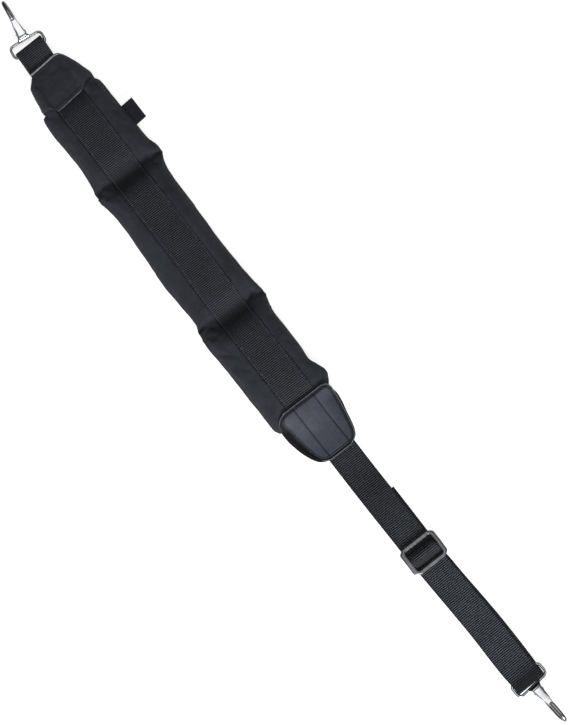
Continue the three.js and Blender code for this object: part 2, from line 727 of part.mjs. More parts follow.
const group = new THREE.Group();
group.add(strap);
group.updateMatrixWorld(true);
const box = new THREE.Box3().setFromObject(strap, true);
strap.position.set(-(box.min.x + box.max.x) / 2, -(box.min.y + box.max.y) / 2, -box.min.z);

export default group;
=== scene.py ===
# A golf bag shoulder strap, lying on its back with its webbing side up.
import json
import math
import bpy
from mathutils import Matrix, Vector, noise
from mathutils.bvhtree import BVHTree


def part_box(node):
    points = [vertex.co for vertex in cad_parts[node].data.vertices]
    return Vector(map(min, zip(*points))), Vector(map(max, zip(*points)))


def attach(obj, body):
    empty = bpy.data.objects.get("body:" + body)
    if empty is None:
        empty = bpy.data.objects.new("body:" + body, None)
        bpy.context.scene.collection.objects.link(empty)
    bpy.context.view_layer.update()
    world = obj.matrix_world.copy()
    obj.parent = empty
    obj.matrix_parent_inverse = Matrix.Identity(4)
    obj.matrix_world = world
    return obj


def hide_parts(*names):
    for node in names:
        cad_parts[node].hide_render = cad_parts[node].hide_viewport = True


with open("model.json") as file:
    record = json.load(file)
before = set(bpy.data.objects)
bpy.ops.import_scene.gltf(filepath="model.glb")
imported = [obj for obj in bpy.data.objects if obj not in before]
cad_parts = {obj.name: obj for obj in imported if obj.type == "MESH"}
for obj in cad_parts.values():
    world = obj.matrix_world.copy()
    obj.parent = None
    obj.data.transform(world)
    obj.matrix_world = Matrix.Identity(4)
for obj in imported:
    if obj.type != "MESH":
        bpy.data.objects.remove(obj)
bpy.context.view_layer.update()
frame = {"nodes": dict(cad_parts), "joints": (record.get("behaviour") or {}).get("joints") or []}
mm = 0.001
body = "strap"
loopWidth = 38  # the webbing that folds round each hook's ring

# Measures below are millimetres along, across and above the strap, from the capped end
# of the padded section and the middle of the webbing there.
origin = Vector((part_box("pad_end_cap")[0].x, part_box("upper_webbing_loop")[0].y + loopWidth / 2 * mm, 0))
down = Vector((0, 0, -1))
clearHeight = 60  # above everything on the strap
floorLevel = 0.1  # the lowest that cloth lies


def place(along, across, height):
    return origin + Vector((along, across, height)) * mm


def inPlace(point):
    return (point - origin) / mm


def clearSelection():
    if bpy.context.object and bpy.context.object.mode != "OBJECT":
        bpy.ops.object.mode_set(mode="OBJECT")
    bpy.ops.object.select_all(action="DESELECT")


def makeActive(piece):
    clearSelection()
    piece.select_set(True)
    bpy.context.view_layer.objects.active = piece


def added(name, data):
    piece = bpy.data.objects.new(name, data)
    bpy.context.scene.collection.objects.link(piece)
    return piece


def applied(piece, kind, **settings):
    makeActive(piece)
    modifier = piece.modifiers.new(kind.title(), kind)
    for name, value in settings.items():
        setattr(modifier, name, value)
    bpy.ops.object.modifier_apply(modifier=modifier.name)
    return piece


def joined(pieces, name):
    clearSelection()
    for piece in pieces:
        piece.select_set(True)
    bpy.context.view_layer.objects.active = pieces[0]
    if len(pieces) > 1:
        bpy.ops.object.join()
    pieces[0].name = name
    return pieces[0]


def facingOut(piece):
    makeActive(piece)
    bpy.ops.object.mode_set(mode="EDIT")
    bpy.ops.mesh.select_all(action="SELECT")
    bpy.ops.mesh.remove_doubles(threshold=0.00002)
    bpy.ops.mesh.normals_make_consistent(inside=False)
    bpy.ops.object.mode_set(mode="OBJECT")
    return piece


# Merges the long seam of a rolled-up grid and closes its two open ends.
def endsClosed(piece):
    makeActive(piece)
    bpy.ops.object.mode_set(mode="EDIT")
    bpy.ops.mesh.select_all(action="SELECT")
    bpy.ops.mesh.remove_doubles(threshold=0.00001)
    bpy.ops.mesh.select_all(action="DESELECT")
    bpy.ops.mesh.select_non_manifold()
    bpy.ops.mesh.edge_face_add()
    bpy.ops.object.mode_set(mode="OBJECT")
    return facingOut(piece)


def smooth(piece, angle=None):
    makeActive(piece)
    if angle is None:
        bpy.ops.object.shade_smooth()
    else:
        bpy.ops.object.shade_smooth_by_angle(angle=math.radians(angle))
    return piece


def finished(piece, material, slot, *nodes, rides=body):
    piece.data.materials.clear()
    piece.data.materials.append(material)
    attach(piece, rides)
    if nodes:
        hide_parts(*nodes)


# A copy of a CAD piece, merged to one closed mesh.
def nodeCopy(node, name):
    clearSelection()
    return facingOut(added(name, frame["nodes"][node].data.copy()))


# The corners of a piece, each with the way that it faces before any of them is moved.
def facings(piece):
    return list(zip(piece.data.vertices, [vertex.normal.copy() for vertex in piece.data.vertices]))


def surfaceOf(piece):
    points = [vertex.co for vertex in piece.data.vertices]
    return BVHTree.FromPolygons(points, [face.vertices for face in piece.data.polygons])


# Where a surface is met from above, and the way that it faces there.
def metFromAbove(surface, along, across):
    return surface.ray_cast(place(along, across, clearHeight), down)[:2]


# A grid whose corners are put where pointAt says. u runs along and v across, from 0 to 1.
def gridPiece(name, alongCount, acrossCount, pointAt, uvSize):
    clearSelection()
    bpy.ops.mesh.primitive_grid_add(x_subdivisions=alongCount, y_subdivisions=acrossCount, size=1)
    piece = bpy.context.object
    piece.name = name
    for loop in piece.data.uv_layers[0].data:
        loop.uv = (loop.uv[0] * uvSize[0], loop.uv[1] * uvSize[1])
    for vertex in piece.data.vertices:
        vertex.co = pointAt(vertex.co.x + 0.5, vertex.co.y + 0.5)
    return piece


# Smooth reading of a table: rows of (along, value, value, ...), in rising order.
def readTable(rows, along):
    if along <= rows[0][0]:
        return rows[0][1:]
    if along >= rows[-1][0]:
        return rows[-1][1:]
    i = next(k for k in range(len(rows) - 1) if rows[k + 1][0] > along)
    span = rows[i + 1][0] - rows[i][0]
    t = (along - rows[i][0]) / span
    values = []
    for column in range(1, len(rows[0])):
        def slope(k):
            if k == 0 or k == len(rows) - 1:
                return 0
            before = (rows[k][column] - rows[k - 1][column]) / (rows[k][0] - rows[k - 1][0])
            after = (rows[k + 1][column] - rows[k][column]) / (rows[k + 1][0] - rows[k][0])
            return 2 * before * after / (before + after) if before * after > 0 else 0
        first, last = rows[i][column], rows[i + 1][column]
        m0, m1 = slope(i) * span, slope(i + 1) * span
        rise = 3 * (last - first) - 2 * m0 - m1
        turn = 2 * (first - last) + m0 + m1
        values.append(first + t * (m0 + t * (rise + t * turn)))
    return values


def smoothStep(low, high, value):
    t = min(max((value - low) / (high - low), 0), 1)
    return t * t * (3 - 2 * t)


# 1 in the middle of a groove or ridge, and close to 0 from twice its reach.
def bell(distance, reach):
    return math.exp(-(distance / reach) ** 2)


# Smooth noise around 0, which changes over about one unit.
def uneven(x, y, z):
    return noise.noise(Vector((x, y, z)))


# Evenly spaced points along a smooth line through control points.
def evenly(points, step):
    dense = []
    for i in range(len(points) - 1):
        p0, p1 = points[max(i - 1, 0)], points[i]
        p2, p3 = points[i + 1], points[min(i + 2, len(points) - 1)]
        count = max(2, int((p2 - p1).length / (step * 0.5)))
        for k in range(count):
            t = k / count
            dense.append(0.5 * ((2 * p1) + (p2 - p0) * t + (2 * p0 - 5 * p1 + 4 * p2 - p3) * t * t
                                + (3 * p1 - p0 - 3 * p2 + p3) * t ** 3))
    dense.append(points[-1].copy())
    lengths = [0]
    for a, b in zip(dense, dense[1:]):
        lengths.append(lengths[-1] + (b - a).length)
    count = max(2, round(lengths[-1] / step))
    out, j = [], 0
    for k in range(count + 1):
        target = lengths[-1] * k / count
        while j < len(dense) - 2 and lengths[j + 1] < target:
            j += 1
        share = (target - lengths[j]) / max(lengths[j + 1] - lengths[j], 1e-9)
        out.append(dense[j].lerp(dense[j + 1], share))
    return out


class Value:
    # A number that varies over a surface, with sums written as expressions.
    def __init__(self, nodes, socket):
        self.nodes, self.socket = nodes, socket

    def math(self, operation, *others):
        return self.nodes.node("ShaderNodeMath", {"operation": operation}, [self, *others])

    def __add__(self, other):
        return self.math("ADD", other)

    def __sub__(self, other):
        return self.math("SUBTRACT", other)

    def __rsub__(self, other):
        return self.nodes.node("ShaderNodeMath", {"operation": "SUBTRACT"}, [other, self])

    def __mul__(self, other):
        return self.math("MULTIPLY", other)

    def __truediv__(self, other):
        return self.math("DIVIDE", other)

    __radd__ = __add__
    __rmul__ = __mul__

    def wave(self, pitch):
        return (self * (2 * math.pi / pitch)).math("SINE")

    def between(self, low, high):
        return self.nodes.node("ShaderNodeMapRange", {"interpolation_type": "SMOOTHSTEP"},
                               {"Value": self, "From Min": low, "From Max": high}, "Result")


class Nodes:
    # The nodes of one material, or of the light around the strap.
    def __init__(self, tree):
        self.tree = tree

    def node(self, kind, settings=None, values=None, output=0):
        made = self.tree.nodes.new(kind)
        for name, value in (settings or {}).items():
            setattr(made, name, value)
        pairs = values.items() if isinstance(values, dict) else enumerate(values or [])
        for name, value in pairs:
            if isinstance(value, Value):
                self.tree.links.new(value.socket, made.inputs[name])
            else:
                made.inputs[name].default_value = value
        return Value(self, made.outputs[output])

    def coordinates(self, kind):
        return self.node("ShaderNodeTexCoord", output=kind)

    def axes(self, vector):
        return [self.node("ShaderNodeSeparateXYZ", {}, [vector], axis) for axis in "XYZ"]


class Look(Nodes):
    # One material. Its dark and light colours are found by its name.
    def __init__(self, name, **constants):
        self.name, self.material = name, bpy.data.materials.new(name)
        self.material.use_nodes = True
        super().__init__(self.material.node_tree)
        self.shader = self.tree.nodes["Principled BSDF"]
        for socket, value in constants.items():
            self.shader.inputs[socket.replace("_", " ")].default_value = value

    def position(self):
        return self.coordinates("Object")

    # Painted shade: how much the colour is darkened at each corner.
    def hollow(self):
        return self.node("ShaderNodeAttribute", {"attribute_name": "hollow"}, output="Fac")

    def noise(self, scale, detail, vector=None):
        return self.node("ShaderNodeTexNoise", {}, {
            "Vector": vector or self.position(), "Scale": scale, "Detail": detail})

    def cells(self, scale):
        return self.node("ShaderNodeTexVoronoi", {}, {"Vector": self.position(), "Scale": scale}, "Distance")

    def stretched(self, scale):
        return self.node("ShaderNodeMapping", {}, {"Vector": self.position(), "Scale": scale})

    def mix(self, share, first, second):
        first, second = ((*colour, 1) if isinstance(colour, tuple) else colour for colour in (first, second))
        return self.node("ShaderNodeMix", {"data_type": "RGBA"}, {0: share, 6: first, 7: second}, 2)

    def shade(self, tone):
        return self.mix(tone, *colours[self.name])

    def put(self, **links):
        for socket, value in links.items():
            self.tree.links.new(value.socket, self.shader.inputs[socket.replace("_", " ")])

    def bump(self, *layers):
        # Each layer is a height and its depth in metres.
        height = layers[0][0] * layers[0][1]
        for value, depth in layers[1:]:
            height = height + value * depth
        self.put(Normal=self.node("ShaderNodeBump", {}, {"Height": height, "Distance": 1.0}))


viewSettings = {
    "position": (0.2261, -0.1559, 1.8815), "lookAt": (0.01668, 0.00565, 0), "upAlong": (-0.79184, 0.61073),
    "lens": 80.09, "sensor": 36, "nearest": 0.05,
}


def makeCamera():
    clearSelection()
    bpy.ops.object.camera_add(location=viewSettings["position"])
    camera = bpy.context.object
    back = (Vector(viewSettings["position"]) - Vector(viewSettings["lookAt"])).normalized()
    ups = viewSettings["upAlong"]
    right = Vector((ups[0], ups[1], 0)).cross(back).normalized()
    up = back.cross(right)
    camera.matrix_world = Matrix.Translation(viewSettings["position"]) @ Matrix(
        (right, up, back)).transposed().to_4x4()
    camera.data.lens = viewSettings["lens"]
    camera.data.sensor_width = viewSettings["sensor"]
    camera.data.clip_start = viewSettings["nearest"]
    bpy.context.scene.camera = camera


# A low key light from beside the lower end, a soft box overhead and a dim room around it.
lightSettings = {
    "key": {"at": (2.95, -0.9, 1.4), "lookAt": (0.15, -0.1, 0), "size": 1.4, "power": 258},
    "room": 0.22, "bright": 0.5, "towards": (0.75, -0.3, 0.45), "brightSpread": (-0.2, 0.9),
    "horizon": 0.12, "horizonFade": (0.05, 0.45), "overhead": 3.3, "overheadSpread": (0.87, 0.975),
}


def makeLights():
    clearSelection()
    key = lightSettings["key"]
    bpy.ops.object.light_add(type="AREA", location=key["at"])
    lamp = bpy.context.object
    lamp.name = "keyLight"
    lamp.data.size = key["size"]
    lamp.data.energy = key["power"]
    lamp.rotation_euler = (Vector(key["lookAt"]) - Vector(key["at"])).to_track_quat("-Z", "Y").to_euler()
    world = bpy.data.worlds.new("studio")
    bpy.context.scene.world = world
    world.use_nodes = True
    sky = Nodes(world.node_tree)
    background = sky.tree.nodes["Background"]
    background.inputs["Color"].default_value = (1, 1, 1, 1)
    direction = sky.coordinates("Generated")
    height = sky.axes(direction)[2]
    facing = sky.node("ShaderNodeVectorMath", {"operation": "DOT_PRODUCT"},
                      [direction, Vector(lightSettings["towards"]).normalized()], "Value")
    room, horizon = lightSettings["room"], lightSettings["horizon"]
    side = facing.between(*lightSettings["brightSpread"]) * (lightSettings["bright"] - room) + room
    rise = height.between(*lightSettings["horizonFade"]) * (1 - horizon) + horizon
    overhead = height.between(*lightSettings["overheadSpread"]) * lightSettings["overhead"]
    sky.tree.links.new((side * rise + overhead).socket, background.inputs["Strength"])
    bpy.context.scene.view_settings.view_transform = "Standard"


floorSettings = {"size": 9, "steps": 8, "below": 0.0004}  # in metres


def makeFloor(material):
    clearSelection()
    steps = floorSettings["steps"]
    bpy.ops.mesh.primitive_grid_add(x_subdivisions=steps, y_subdivisions=steps, size=floorSettings["size"])
    floor = bpy.context.object
    floor.name = "studioFloor"
    floor.location.z = -floorSettings["below"]
    floor.data.materials.append(material)


# The dark and the light colour of each finish.
colours = {
    "studioPaper": ((0.34, 0.34, 0.34), (0.37, 0.37, 0.37)),
    "padCloth": ((0.0078, 0.009, 0.0116), (0.0151, 0.0172, 0.0219)),
    "capCloth": ((0.0118, 0.0132, 0.0166), (0.0225, 0.025, 0.031)),
    # The backing cloth is the pad cloth made darker as painted shade.
    "backingCloth": ((0.004, 0.0046, 0.006), (0.008, 0.009, 0.0115)),
    "rubbedFold": ((0.022, 0.025, 0.031), (0.06, 0.066, 0.077)),
    # The light colours of the webbings are painted highlights on the rib crowns; the adjuster's are brighter,
    # as a more brightly lit copy.
    "ribbedWebbing": ((0.0012, 0.0015, 0.0021), (0.064, 0.073, 0.091)),
    "adjusterRibs": ((0.0012, 0.0015, 0.0021), (0.2, 0.228, 0.28)),
    "borderLeather": ((0.003, 0.0033, 0.0045), (0.008, 0.009, 0.0115)),
    "panelLeather": ((0.0142, 0.0166, 0.0248), (0.023, 0.0258, 0.0375)),
    # The light colour of the patch's edge bead is a painted highlight.
    "edgeLeather": ((0.05, 0.055, 0.07), (0.08, 0.088, 0.11)),
    "pipingVinyl": ((0.06, 0.06, 0.068), (0.12, 0.12, 0.132)),
    "darkThread": ((0.0008, 0.0009, 0.0014), (0.003, 0.0034, 0.005)),
    "stripThread": ((0.012, 0.0136, 0.017), (0.03, 0.034, 0.042)),
    "wovenLabel": ((0.0022, 0.0027, 0.0042), (0.006, 0.0068, 0.0095)),
    "mouldedPlastic": ((0.02, 0.021, 0.024), (0.045, 0.046, 0.051)),
    "platedMetal": ((0.22, 0.226, 0.236), (0.31, 0.316, 0.326)),
}


def floorLook():
    # White film lit from behind, so that shadows on it stay pale.
    look = Look("studioPaper", Roughness=0.9, Specular_IOR_Level=0.1, Emission_Strength=0.7)
    look.shader.inputs["Emission Color"].default_value = (1, 1, 1, 1)
    look.put(Base_Color=look.shade(look.noise(3, 2)))
    return look.material


def padClothLook(name):
    look = Look(name, Sheen_Weight=0.05, Sheen_Roughness=0.5, Specular_IOR_Level=0.12)
    look.shader.inputs["Sheen Tint"].default_value = (0.6, 0.66, 0.8, 1)
    x, y, z = look.axes(look.position())
    across = (y + 0.007).math("ABSOLUTE") - z
    weave = x.wave(0.0011) * across.wave(0.0011)
    lint = look.noise(900, 2)
    mottle = look.noise(60, 4)
    patches = look.noise(14, 3)
    cloth = look.shade((mottle * 0.55 + patches * 0.45 + lint * 0.25 + weave * 0.05).between(0.42, 0.85))
    # Painted shade darkens the cloth where the shade attribute is marked.
    look.put(Base_Color=look.mix(look.hollow() * 0.8, cloth, (0.0022, 0.0027, 0.0035)),
             Roughness=mottle * 0.2 + 0.62)
    look.bump((weave, 0.00012), (mottle, 0.0006), (lint, 0.0001))
    return look.material


def foldLook():
    # The folded edge of the cloth, painted lighter than the rest as a painted highlight.
    look = Look("rubbedFold", Specular_IOR_Level=0.2)
    foldMottle = look.noise(220, 4)
    fibre = look.noise(1400, 2)
    look.put(Base_Color=look.shade((foldMottle + fibre * 0.3).between(0.35, 0.9)), Roughness=foldMottle * 0.2 + 0.55)
    look.bump((foldMottle, 0.0003), (fibre, 0.0001))
    return look.material


# sharp narrows the painted highlight on the crown of each rib, the setting after it paints light on the lower
# end, beads is how much each yarn stands out along a rib, and rim darkens the edges as painted shade, and
# lightens them as painted light when below 0.
def webbingLook(name, sharp=2, worn=0, beads=0.35, rim=0.2):
    look = Look(name, Sheen_Weight=0.04, Sheen_Roughness=0.4, Specular_IOR_Level=0.12)
    u, v, _ = look.axes(look.coordinates("UV"))
    pitch, yarn = ribs["pitch"] * mm, ribs["yarn"] * mm
    rib = (u + pitch / 4).wave(pitch)  # highest where the rib stands
    row = (u / (2 * pitch)).math("FRACT").math("GREATER_THAN", 0.5)
    along, across, _ = look.axes(look.position())
    strand = (across + row * (yarn / 2)).wave(yarn)
    crown = look.node("ShaderNodeMath", {"operation": "MULTIPLY", "use_clamp": True},
                      [rib * 0.5 + 0.5, strand * beads + (1 - beads)])
    selvage = (v.math("FRACT") - 0.5).math("ABSOLUTE").between(0.2, 0.36)
    lint = look.noise(1100, 2)
    wear = look.noise(35, 3)
    # Painted light lightens the lower end. The tone is a painted highlight on the rib crowns and painted
    # shade between them; rim paints the edges darker, and lighter when below 0.
    fade = along.between(0.2, 0.4) * worn + (1 - worn)
    tone = crown.math("POWER", sharp) * (0.7 + 0.5 * wear) * fade * (1 - selvage * rim) + lint * 0.1
    # Painted shade where the shade attribute is marked.
    look.put(Base_Color=look.mix(look.hollow() * 0.75, look.shade(tone.between(0.1, 1.05)), colours[name][0]),
             Roughness=0.7 - crown * 0.25)
    look.bump((strand, 0.00012), (lint, 0.0001))
    return look.material


def leatherLook(name, shine=0.22):
    look = Look(name, Specular_IOR_Level=shine)
    grain = look.cells(1300)
    crease = look.noise(280, 5)
    mottle = look.noise(45, 4)
    skin = look.shade((mottle * 0.6 + crease * 0.4).between(0.3, 0.75))
    # Painted shade where the shade attribute is marked: the turned-under edge and the stitch grooves.
    look.put(Base_Color=look.mix(look.hollow(), skin, tuple(part * 0.12 for part in colours[name][0])),
             Roughness=grain * 0.25 + mottle * 0.15 + 0.38)
    look.bump((grain, 0.00012), (crease, 0.00025))
    return look.material


def pipingLook():
    look = Look("pipingVinyl", Specular_IOR_Level=0.5)
    turns = look.axes(look.position())[1].wave(0.0016)
    mottle = look.noise(200, 3)
    look.put(Base_Color=look.shade((mottle * 0.7 + turns * 0.1).between(0.2, 0.6)),
             Roughness=mottle * 0.2 + 0.35)
    look.bump((turns, 0.00005), (mottle, 0.0002))
    return look.material


def threadLook(name):
    look = Look(name, Specular_IOR_Level=0.15)
    x, y, z = look.axes(look.position())
    twist = (x + y * 0.8 + z * 0.6).wave(0.0005)
    fuzz = look.noise(1500, 2)
    look.put(Base_Color=look.shade((twist * 0.25 + fuzz).between(0.2, 0.8)), Roughness=fuzz * 0.2 + 0.6)
    look.bump((twist, 0.00008))
    return look.material


def labelLook():
    look = Look("wovenLabel", Specular_IOR_Level=0.15)
    x, y, _ = look.axes(look.position())
    satin = x.wave(0.0006) * y.wave(0.0009)
    mottle = look.noise(120, 3)
    look.put(Base_Color=look.shade((mottle + satin * 0.2).between(0.25, 0.8)), Roughness=mottle * 0.2 + 0.5)
    look.bump((satin, 0.00006), (mottle, 0.0001))
    return look.material


def plasticLook():
    look = Look("mouldedPlastic", Specular_IOR_Level=0.6, Coat_Roughness=0.2)
    grain = look.noise(900, 3)
    scuff = look.noise(60, 4, look.stretched((1, 4, 1)))
    look.put(Base_Color=look.shade(scuff.between(0.35, 0.75)), Roughness=scuff * 0.18 + grain * 0.08 + 0.16)
    look.bump((grain, 0.00003), (scuff, 0.0001))
    return look.material


def chromeLook():
    look = Look("platedMetal", Metallic=1.0)
    cloud = look.noise(150, 4)
    scratch = look.noise(900, 2, look.stretched((0.15, 1, 1)))
    # Painted shade and painted dark reflections where the shade attribute is marked.
    look.put(Base_Color=look.mix(look.hollow(), look.shade(cloud.between(0.3, 0.75)), (0.03, 0.031, 0.033)),
             Roughness=cloud * 0.1 + scratch * 0.08 + 0.06)
    look.bump((scratch, 0.00001), (cloud, 0.00003))
    return look.material


ribs = {"pitch": 2.4, "yarn": 2.3, "height": 0.42, "rowsPerRib": 4, "thickness": 1.5, "selvage": 0.12}
# The section of the webbing: places across, and the share of its thickness there.
webbingSection = [(-1, 0), (-0.99, 0.55), (-0.96, 0.9), (-0.85, 1), (-0.45, 1), (0, 1),
                  (0.45, 1), (0.85, 1), (0.96, 0.9), (0.99, 0.55), (1, 0)]


# A strap along a smooth route. Each route row is (along, middle, height, slope across).
def webbingPiece(name, route, width):
    line = [Vector(row[:3]) for row in route]
    step = ribs["pitch"] / ribs["rowsPerRib"]
    points = evenly(line, step)
    # The slope at each point, read by its share of the way through the route's rows.
    rowAt, j = [], 0
    for point in points:
        while j < len(line) - 2 and (point - line[j + 1]).length < (point - line[j]).length and (
                (point - line[j + 1]).dot(line[j + 1] - line[j]) > 0):
            j += 1
        span = line[j + 1] - line[j]
        rowAt.append(j + min(max((point - line[j]).dot(span) / span.length_squared, 0), 1))
    frames = []
    for i, point in enumerate(points):
        ahead = points[min(i + 1, len(points) - 1)] - points[max(i - 1, 0)]
        ahead.y = 0
        ahead.normalize()
        normal = Vector((-ahead.z, 0, ahead.x))
        k = int(rowAt[i])
        share = rowAt[i] - k
        slope = route[k][3] * (1 - share) + route[min(k + 1, len(route) - 1)][3] * share
        frames.append((point, normal, slope))
    loop = [(*corner, 1) for corner in webbingSection] + [(*corner, -1) for corner in webbingSection[-2::-1]]
    count, around = len(frames) - 1, len(loop) - 1

    def pointAt(u, v):
        i = round(u * count)
        point, normal, slope = frames[i]
        across, thick, side = loop[round(v * around)]
        phase = 2 * math.pi * i / ribs["rowsPerRib"]
        rib = ribs["height"] * (0.5 * math.cos(phase) - 0.5) * (1 if 0 < thick else 0)
        selvage = ribs["selvage"] * math.sin(phase) if abs(across) > 0.98 else 0
        out = side * (thick * ribs["thickness"] / 2 + (rib if thick == 1 else 0))
        y = across * (width / 2) + selvage * math.copysign(1, across)
        return place(point.x + normal.x * out, point.y + y, point.z + normal.z * out + y * slope)

    piece = gridPiece(name, count, around, pointAt, (count * step * mm, 2))
    return smooth(endsClosed(piece), 50)


foldSettings = {"radius": 2.75, "steps": 12}


# Half a turn of webbing round a hook's ring. first and last are (across, height) of its ends.
def foldRows(along, height, first, last, way, slope):
    radius, steps = foldSettings["radius"], foldSettings["steps"]
    rising = 1 if first[1] > last[1] else -1
    rows = []
    for k in range(steps + 1):
        angle = math.pi * k / steps
        rows.append((along + way * radius * math.sin(angle), first[0] + (last[0] - first[0]) * k / steps,
                     height + rising * radius * math.cos(angle), slope))
    return rows


# How much painted shade darkens each corner of a piece, for its material to read. The sides of a piece, where
# its cloth turns down, can be given painted shade too.
def markPaintedShade(piece, paintedShadeAt, sides=0, placeOf=inPlace):
    shades = []
    for vertex in piece.data.vertices:
        turned = 1 - smoothStep(0.3, 0.85, abs(vertex.normal.z)) if sides else 0
        shades.append(max(paintedShadeAt(placeOf(vertex.co)), sides * turned))
    piece.data.attributes.new("hollow", "FLOAT", "POINT").data.foreach_set("value", shades)


padStrip = {"start": 39, "end": 536, "width": 40, "step": 8.9, "capDark": 0.75}
stripMiddle = [(0, 0), (60, -0.6), (287, -1), (370, -2.8), (512, -2.3), (545, -2)]  # (along, across)
seamDip = {"at": (171.5, 379.5), "depth": 3.6, "shift": 4, "reach": 12.5, "lift": -0.35}


# How far a place is from the middle of the webbing on the pad.
def besideStrip(at):
    return at.y - readTable(stripMiddle, at.x)[0]


# Painted shade in the seam valleys of the pad and of the webbing on it.
def seamPaintedShade(at):
    beside = besideStrip(at)
    reach = seamDip["reach"] - 6 * smoothStep(19, 26, beside)
    near = sum(bell(at.x - seam - 0.5 * reach, reach) for seam in seamDip["at"])
    return near * (1 - smoothStep(18, 38, abs(beside))) * (1 - 0.3 * smoothStep(19, 24, beside))


# The webbing and the cloth beside it sink where the seams cross the pad.
def valley(along):
    return sum(bell(along - seam - seamDip["shift"], seamDip["reach"]) for seam in seamDip["at"])


def makePadWebbing(material):
    surface = surfaceOf(frame["nodes"]["pad_webbing"])
    rows = []
    along = padStrip["start"] + 0.2
    while along < padStrip["end"]:
        middle = readTable(stripMiddle, along)[0]
        top = metFromAbove(surface, along, middle)[0].z / mm
        rows.append([along, middle, top - ribs["thickness"] / 2 - seamDip["depth"] * valley(along), 0])
        along += padStrip["step"]
    route = [rows[0]]
    for before, row, after in zip(rows, rows[1:], rows[2:]):
        route.append([row[0], row[1], (before[2] + 2 * row[2] + after[2]) / 4 + seamDip["lift"], 0])
    route.append(rows[-1])
    piece = webbingPiece("padWebbing", route, padStrip["width"])

    # Painted shade in the dips, and a painted shadow along the cap's edge too.
    def paintedShadeAt(at):
        return min(1, seamPaintedShade(at) + padStrip["capDark"] * (1 - smoothStep(54, 84, at.x)))

    markPaintedShade(piece, paintedShadeAt)
    finished(piece, material, "webbing", "pad_webbing")


# Its two runs are rows of (along, middle, height, slope across).
upperLoop = {
    "under": [(36, 0, 11.65, 0), (22, 0, 8.35, 0), (14, 0, 6, 0), (6, 0, 3.5, 0), (0, 0, 2.75, 0),
              (-10, 0.4, 3.1, 0.05), (-20, 0.9, 4.35, 0.105)],
    "over": [(-20, 1, 9.88, 0.105), (-10, 0.6, 7.8, 0.06), (0, 0, 4.8, 0), (6, 0, 5.7, 0),
             (14, 0, 8.05, 0), (22, 0, 10.4, 0), (36, 0, 13.7, 0)],
    "foldAt": (-27.5, 7.13), "foldEnds": ((0.9, 4.4), (1, 9.9)), "slope": 0.105,
}


def makeUpperLoop(material):
    fold = foldRows(*upperLoop["foldAt"], *upperLoop["foldEnds"], -1, upperLoop["slope"])
    piece = webbingPiece("upperWebbingLoop", upperLoop["under"] + fold + upperLoop["over"], loopWidth)
    finished(piece, material, "webbing", "upper_webbing_loop")


adjuster = {
    "over": [(556, 0.2, 2.6, 0), (588, 0.2, 2.6, 0), (602, 0.2, 1.5, 0), (616, 0.2, 1.05, 0),
             (632, 0.2, 1.3, 0), (646, 0.2, 2.3, 0), (658, 0.25, 2.95, 0), (690, 0.6, 2.95, 0),
             (726, 1.2, 2.95, 0), (731, 1.4, 5.6, 0), (736, 1.6, 8.55, 0), (741.2, 1.8, 8.55, 0),
             (746.2, 2, 5.6, 0), (751.2, 2.1, 2.95, 0), (762, 2.4, 2.95, 0), (789, 3.4, 3.4, 0),
             (820, 4.5, 4.6, -0.03), (850, 5.2, 5.7, -0.06), (880, 5, 6.9, -0.09),
             (903, 5.2, 7.8, -0.105), (913, 5.9, 8.9, -0.105), (921, 6.4, 9.88, -0.105)],
    "under": [(918, 7.8, 4.38, -0.105), (905, 8.3, 4, -0.1), (880, 8.5, 3.1, -0.075),
              (850, 8.2, 2, -0.04), (820, 7, 1.2, -0.01), (789, 5.3, 0.85, 0), (762, 4.2, 0.85, 0),
              (751.2, 3.3, 0.85, 0), (746.2, 3.1, 3.5, 0), (741.2, 2.9, 6.45, 0), (736, 2.9, 6.45, 0),
              (731, 2.9, 3.5, 0), (726, 2.9, 0.85, 0), (690, 3.1, 0.85, 0), (657, 3.1, 0.85, 0)],
    "foldAt": (928, 7.13), "foldEnds": ((6.4, 9.9), (7.8, 4.4)), "slope": -0.105,
    # Where the hump inside the slider is, and how much painted shade darkens the material beside it and
    # painted shadow darkens it in the fold.
    "humpAt": 738.6, "litAt": 736, "humpDark": 0.85, "foldDark": 1.25,
}


def makeAdjusterWebbing(material):
    fold = foldRows(*adjuster["foldAt"], *adjuster["foldEnds"], 1, adjuster["slope"])
    piece = webbingPiece("adjusterWebbing", adjuster["over"] + fold + adjuster["under"], loopWidth)

    def paintedShadeAt(at):
        # Painted shadow in the fold round the ring, and painted shade beside the hump inside the slider.
        fromLit, fromHump = abs(at.x - adjuster["litAt"]), abs(at.x - adjuster["humpAt"])
        inFold = adjuster["foldDark"] * smoothStep(909, 923, at.x)
        byHump = adjuster["humpDark"] * smoothStep(4, 8.5, fromLit) * (1 - smoothStep(12, 14, fromHump))
        return inFold + byHump

    markPaintedShade(piece, paintedShadeAt)
    finished(piece, material, "webbing", "adjuster_webbing")


padSettings = {
    "voxel": 3.2, "inset": 2.4, "pressure": 5.0, "frames": 20, "mostMove": 5.0, "inward": 0.2, "capEnd": 60,
    "creaseDepth": 2.6, "creaseWidth": 3.4, "pucker": 2.8, "puckerReach": 13, "swell": (0.7, 1.6),
    "sideRidge": 1.3, "sideRidgeWidth": 3.5, "sag": 1.1, "wrinkles": 0.55, "valley": 2.0, "corner": 6,
    "besideStrip": (0.0, 0.45), "underStrip": 0.25, "stripReach": 20.6, "sideDark": 0.8,
}
# Where each cross seam runs: (across, along).
crossSeams = [
    [(-46, 167.5), (-30, 168), (-18, 170.5), (0, 171.5), (18, 171), (30, 171.5), (48, 174)],
    [(-50, 374), (-42, 374), (-30, 372.5), (-20, 376), (0, 379.5), (18, 382.5), (28, 377.8), (40, 383)],
]


def seamDistance(at, seam):
    return at.x - readTable(seam, at.y)[0]


clothSettings = {
    "quality": 5, "mass": 0.25, "tension_stiffness": 12, "compression_stiffness": 12,
    "bending_stiffness": 0.3, "use_pressure": True, "shrink_min": -0.03, "vertex_group_mass": "sewn",
}


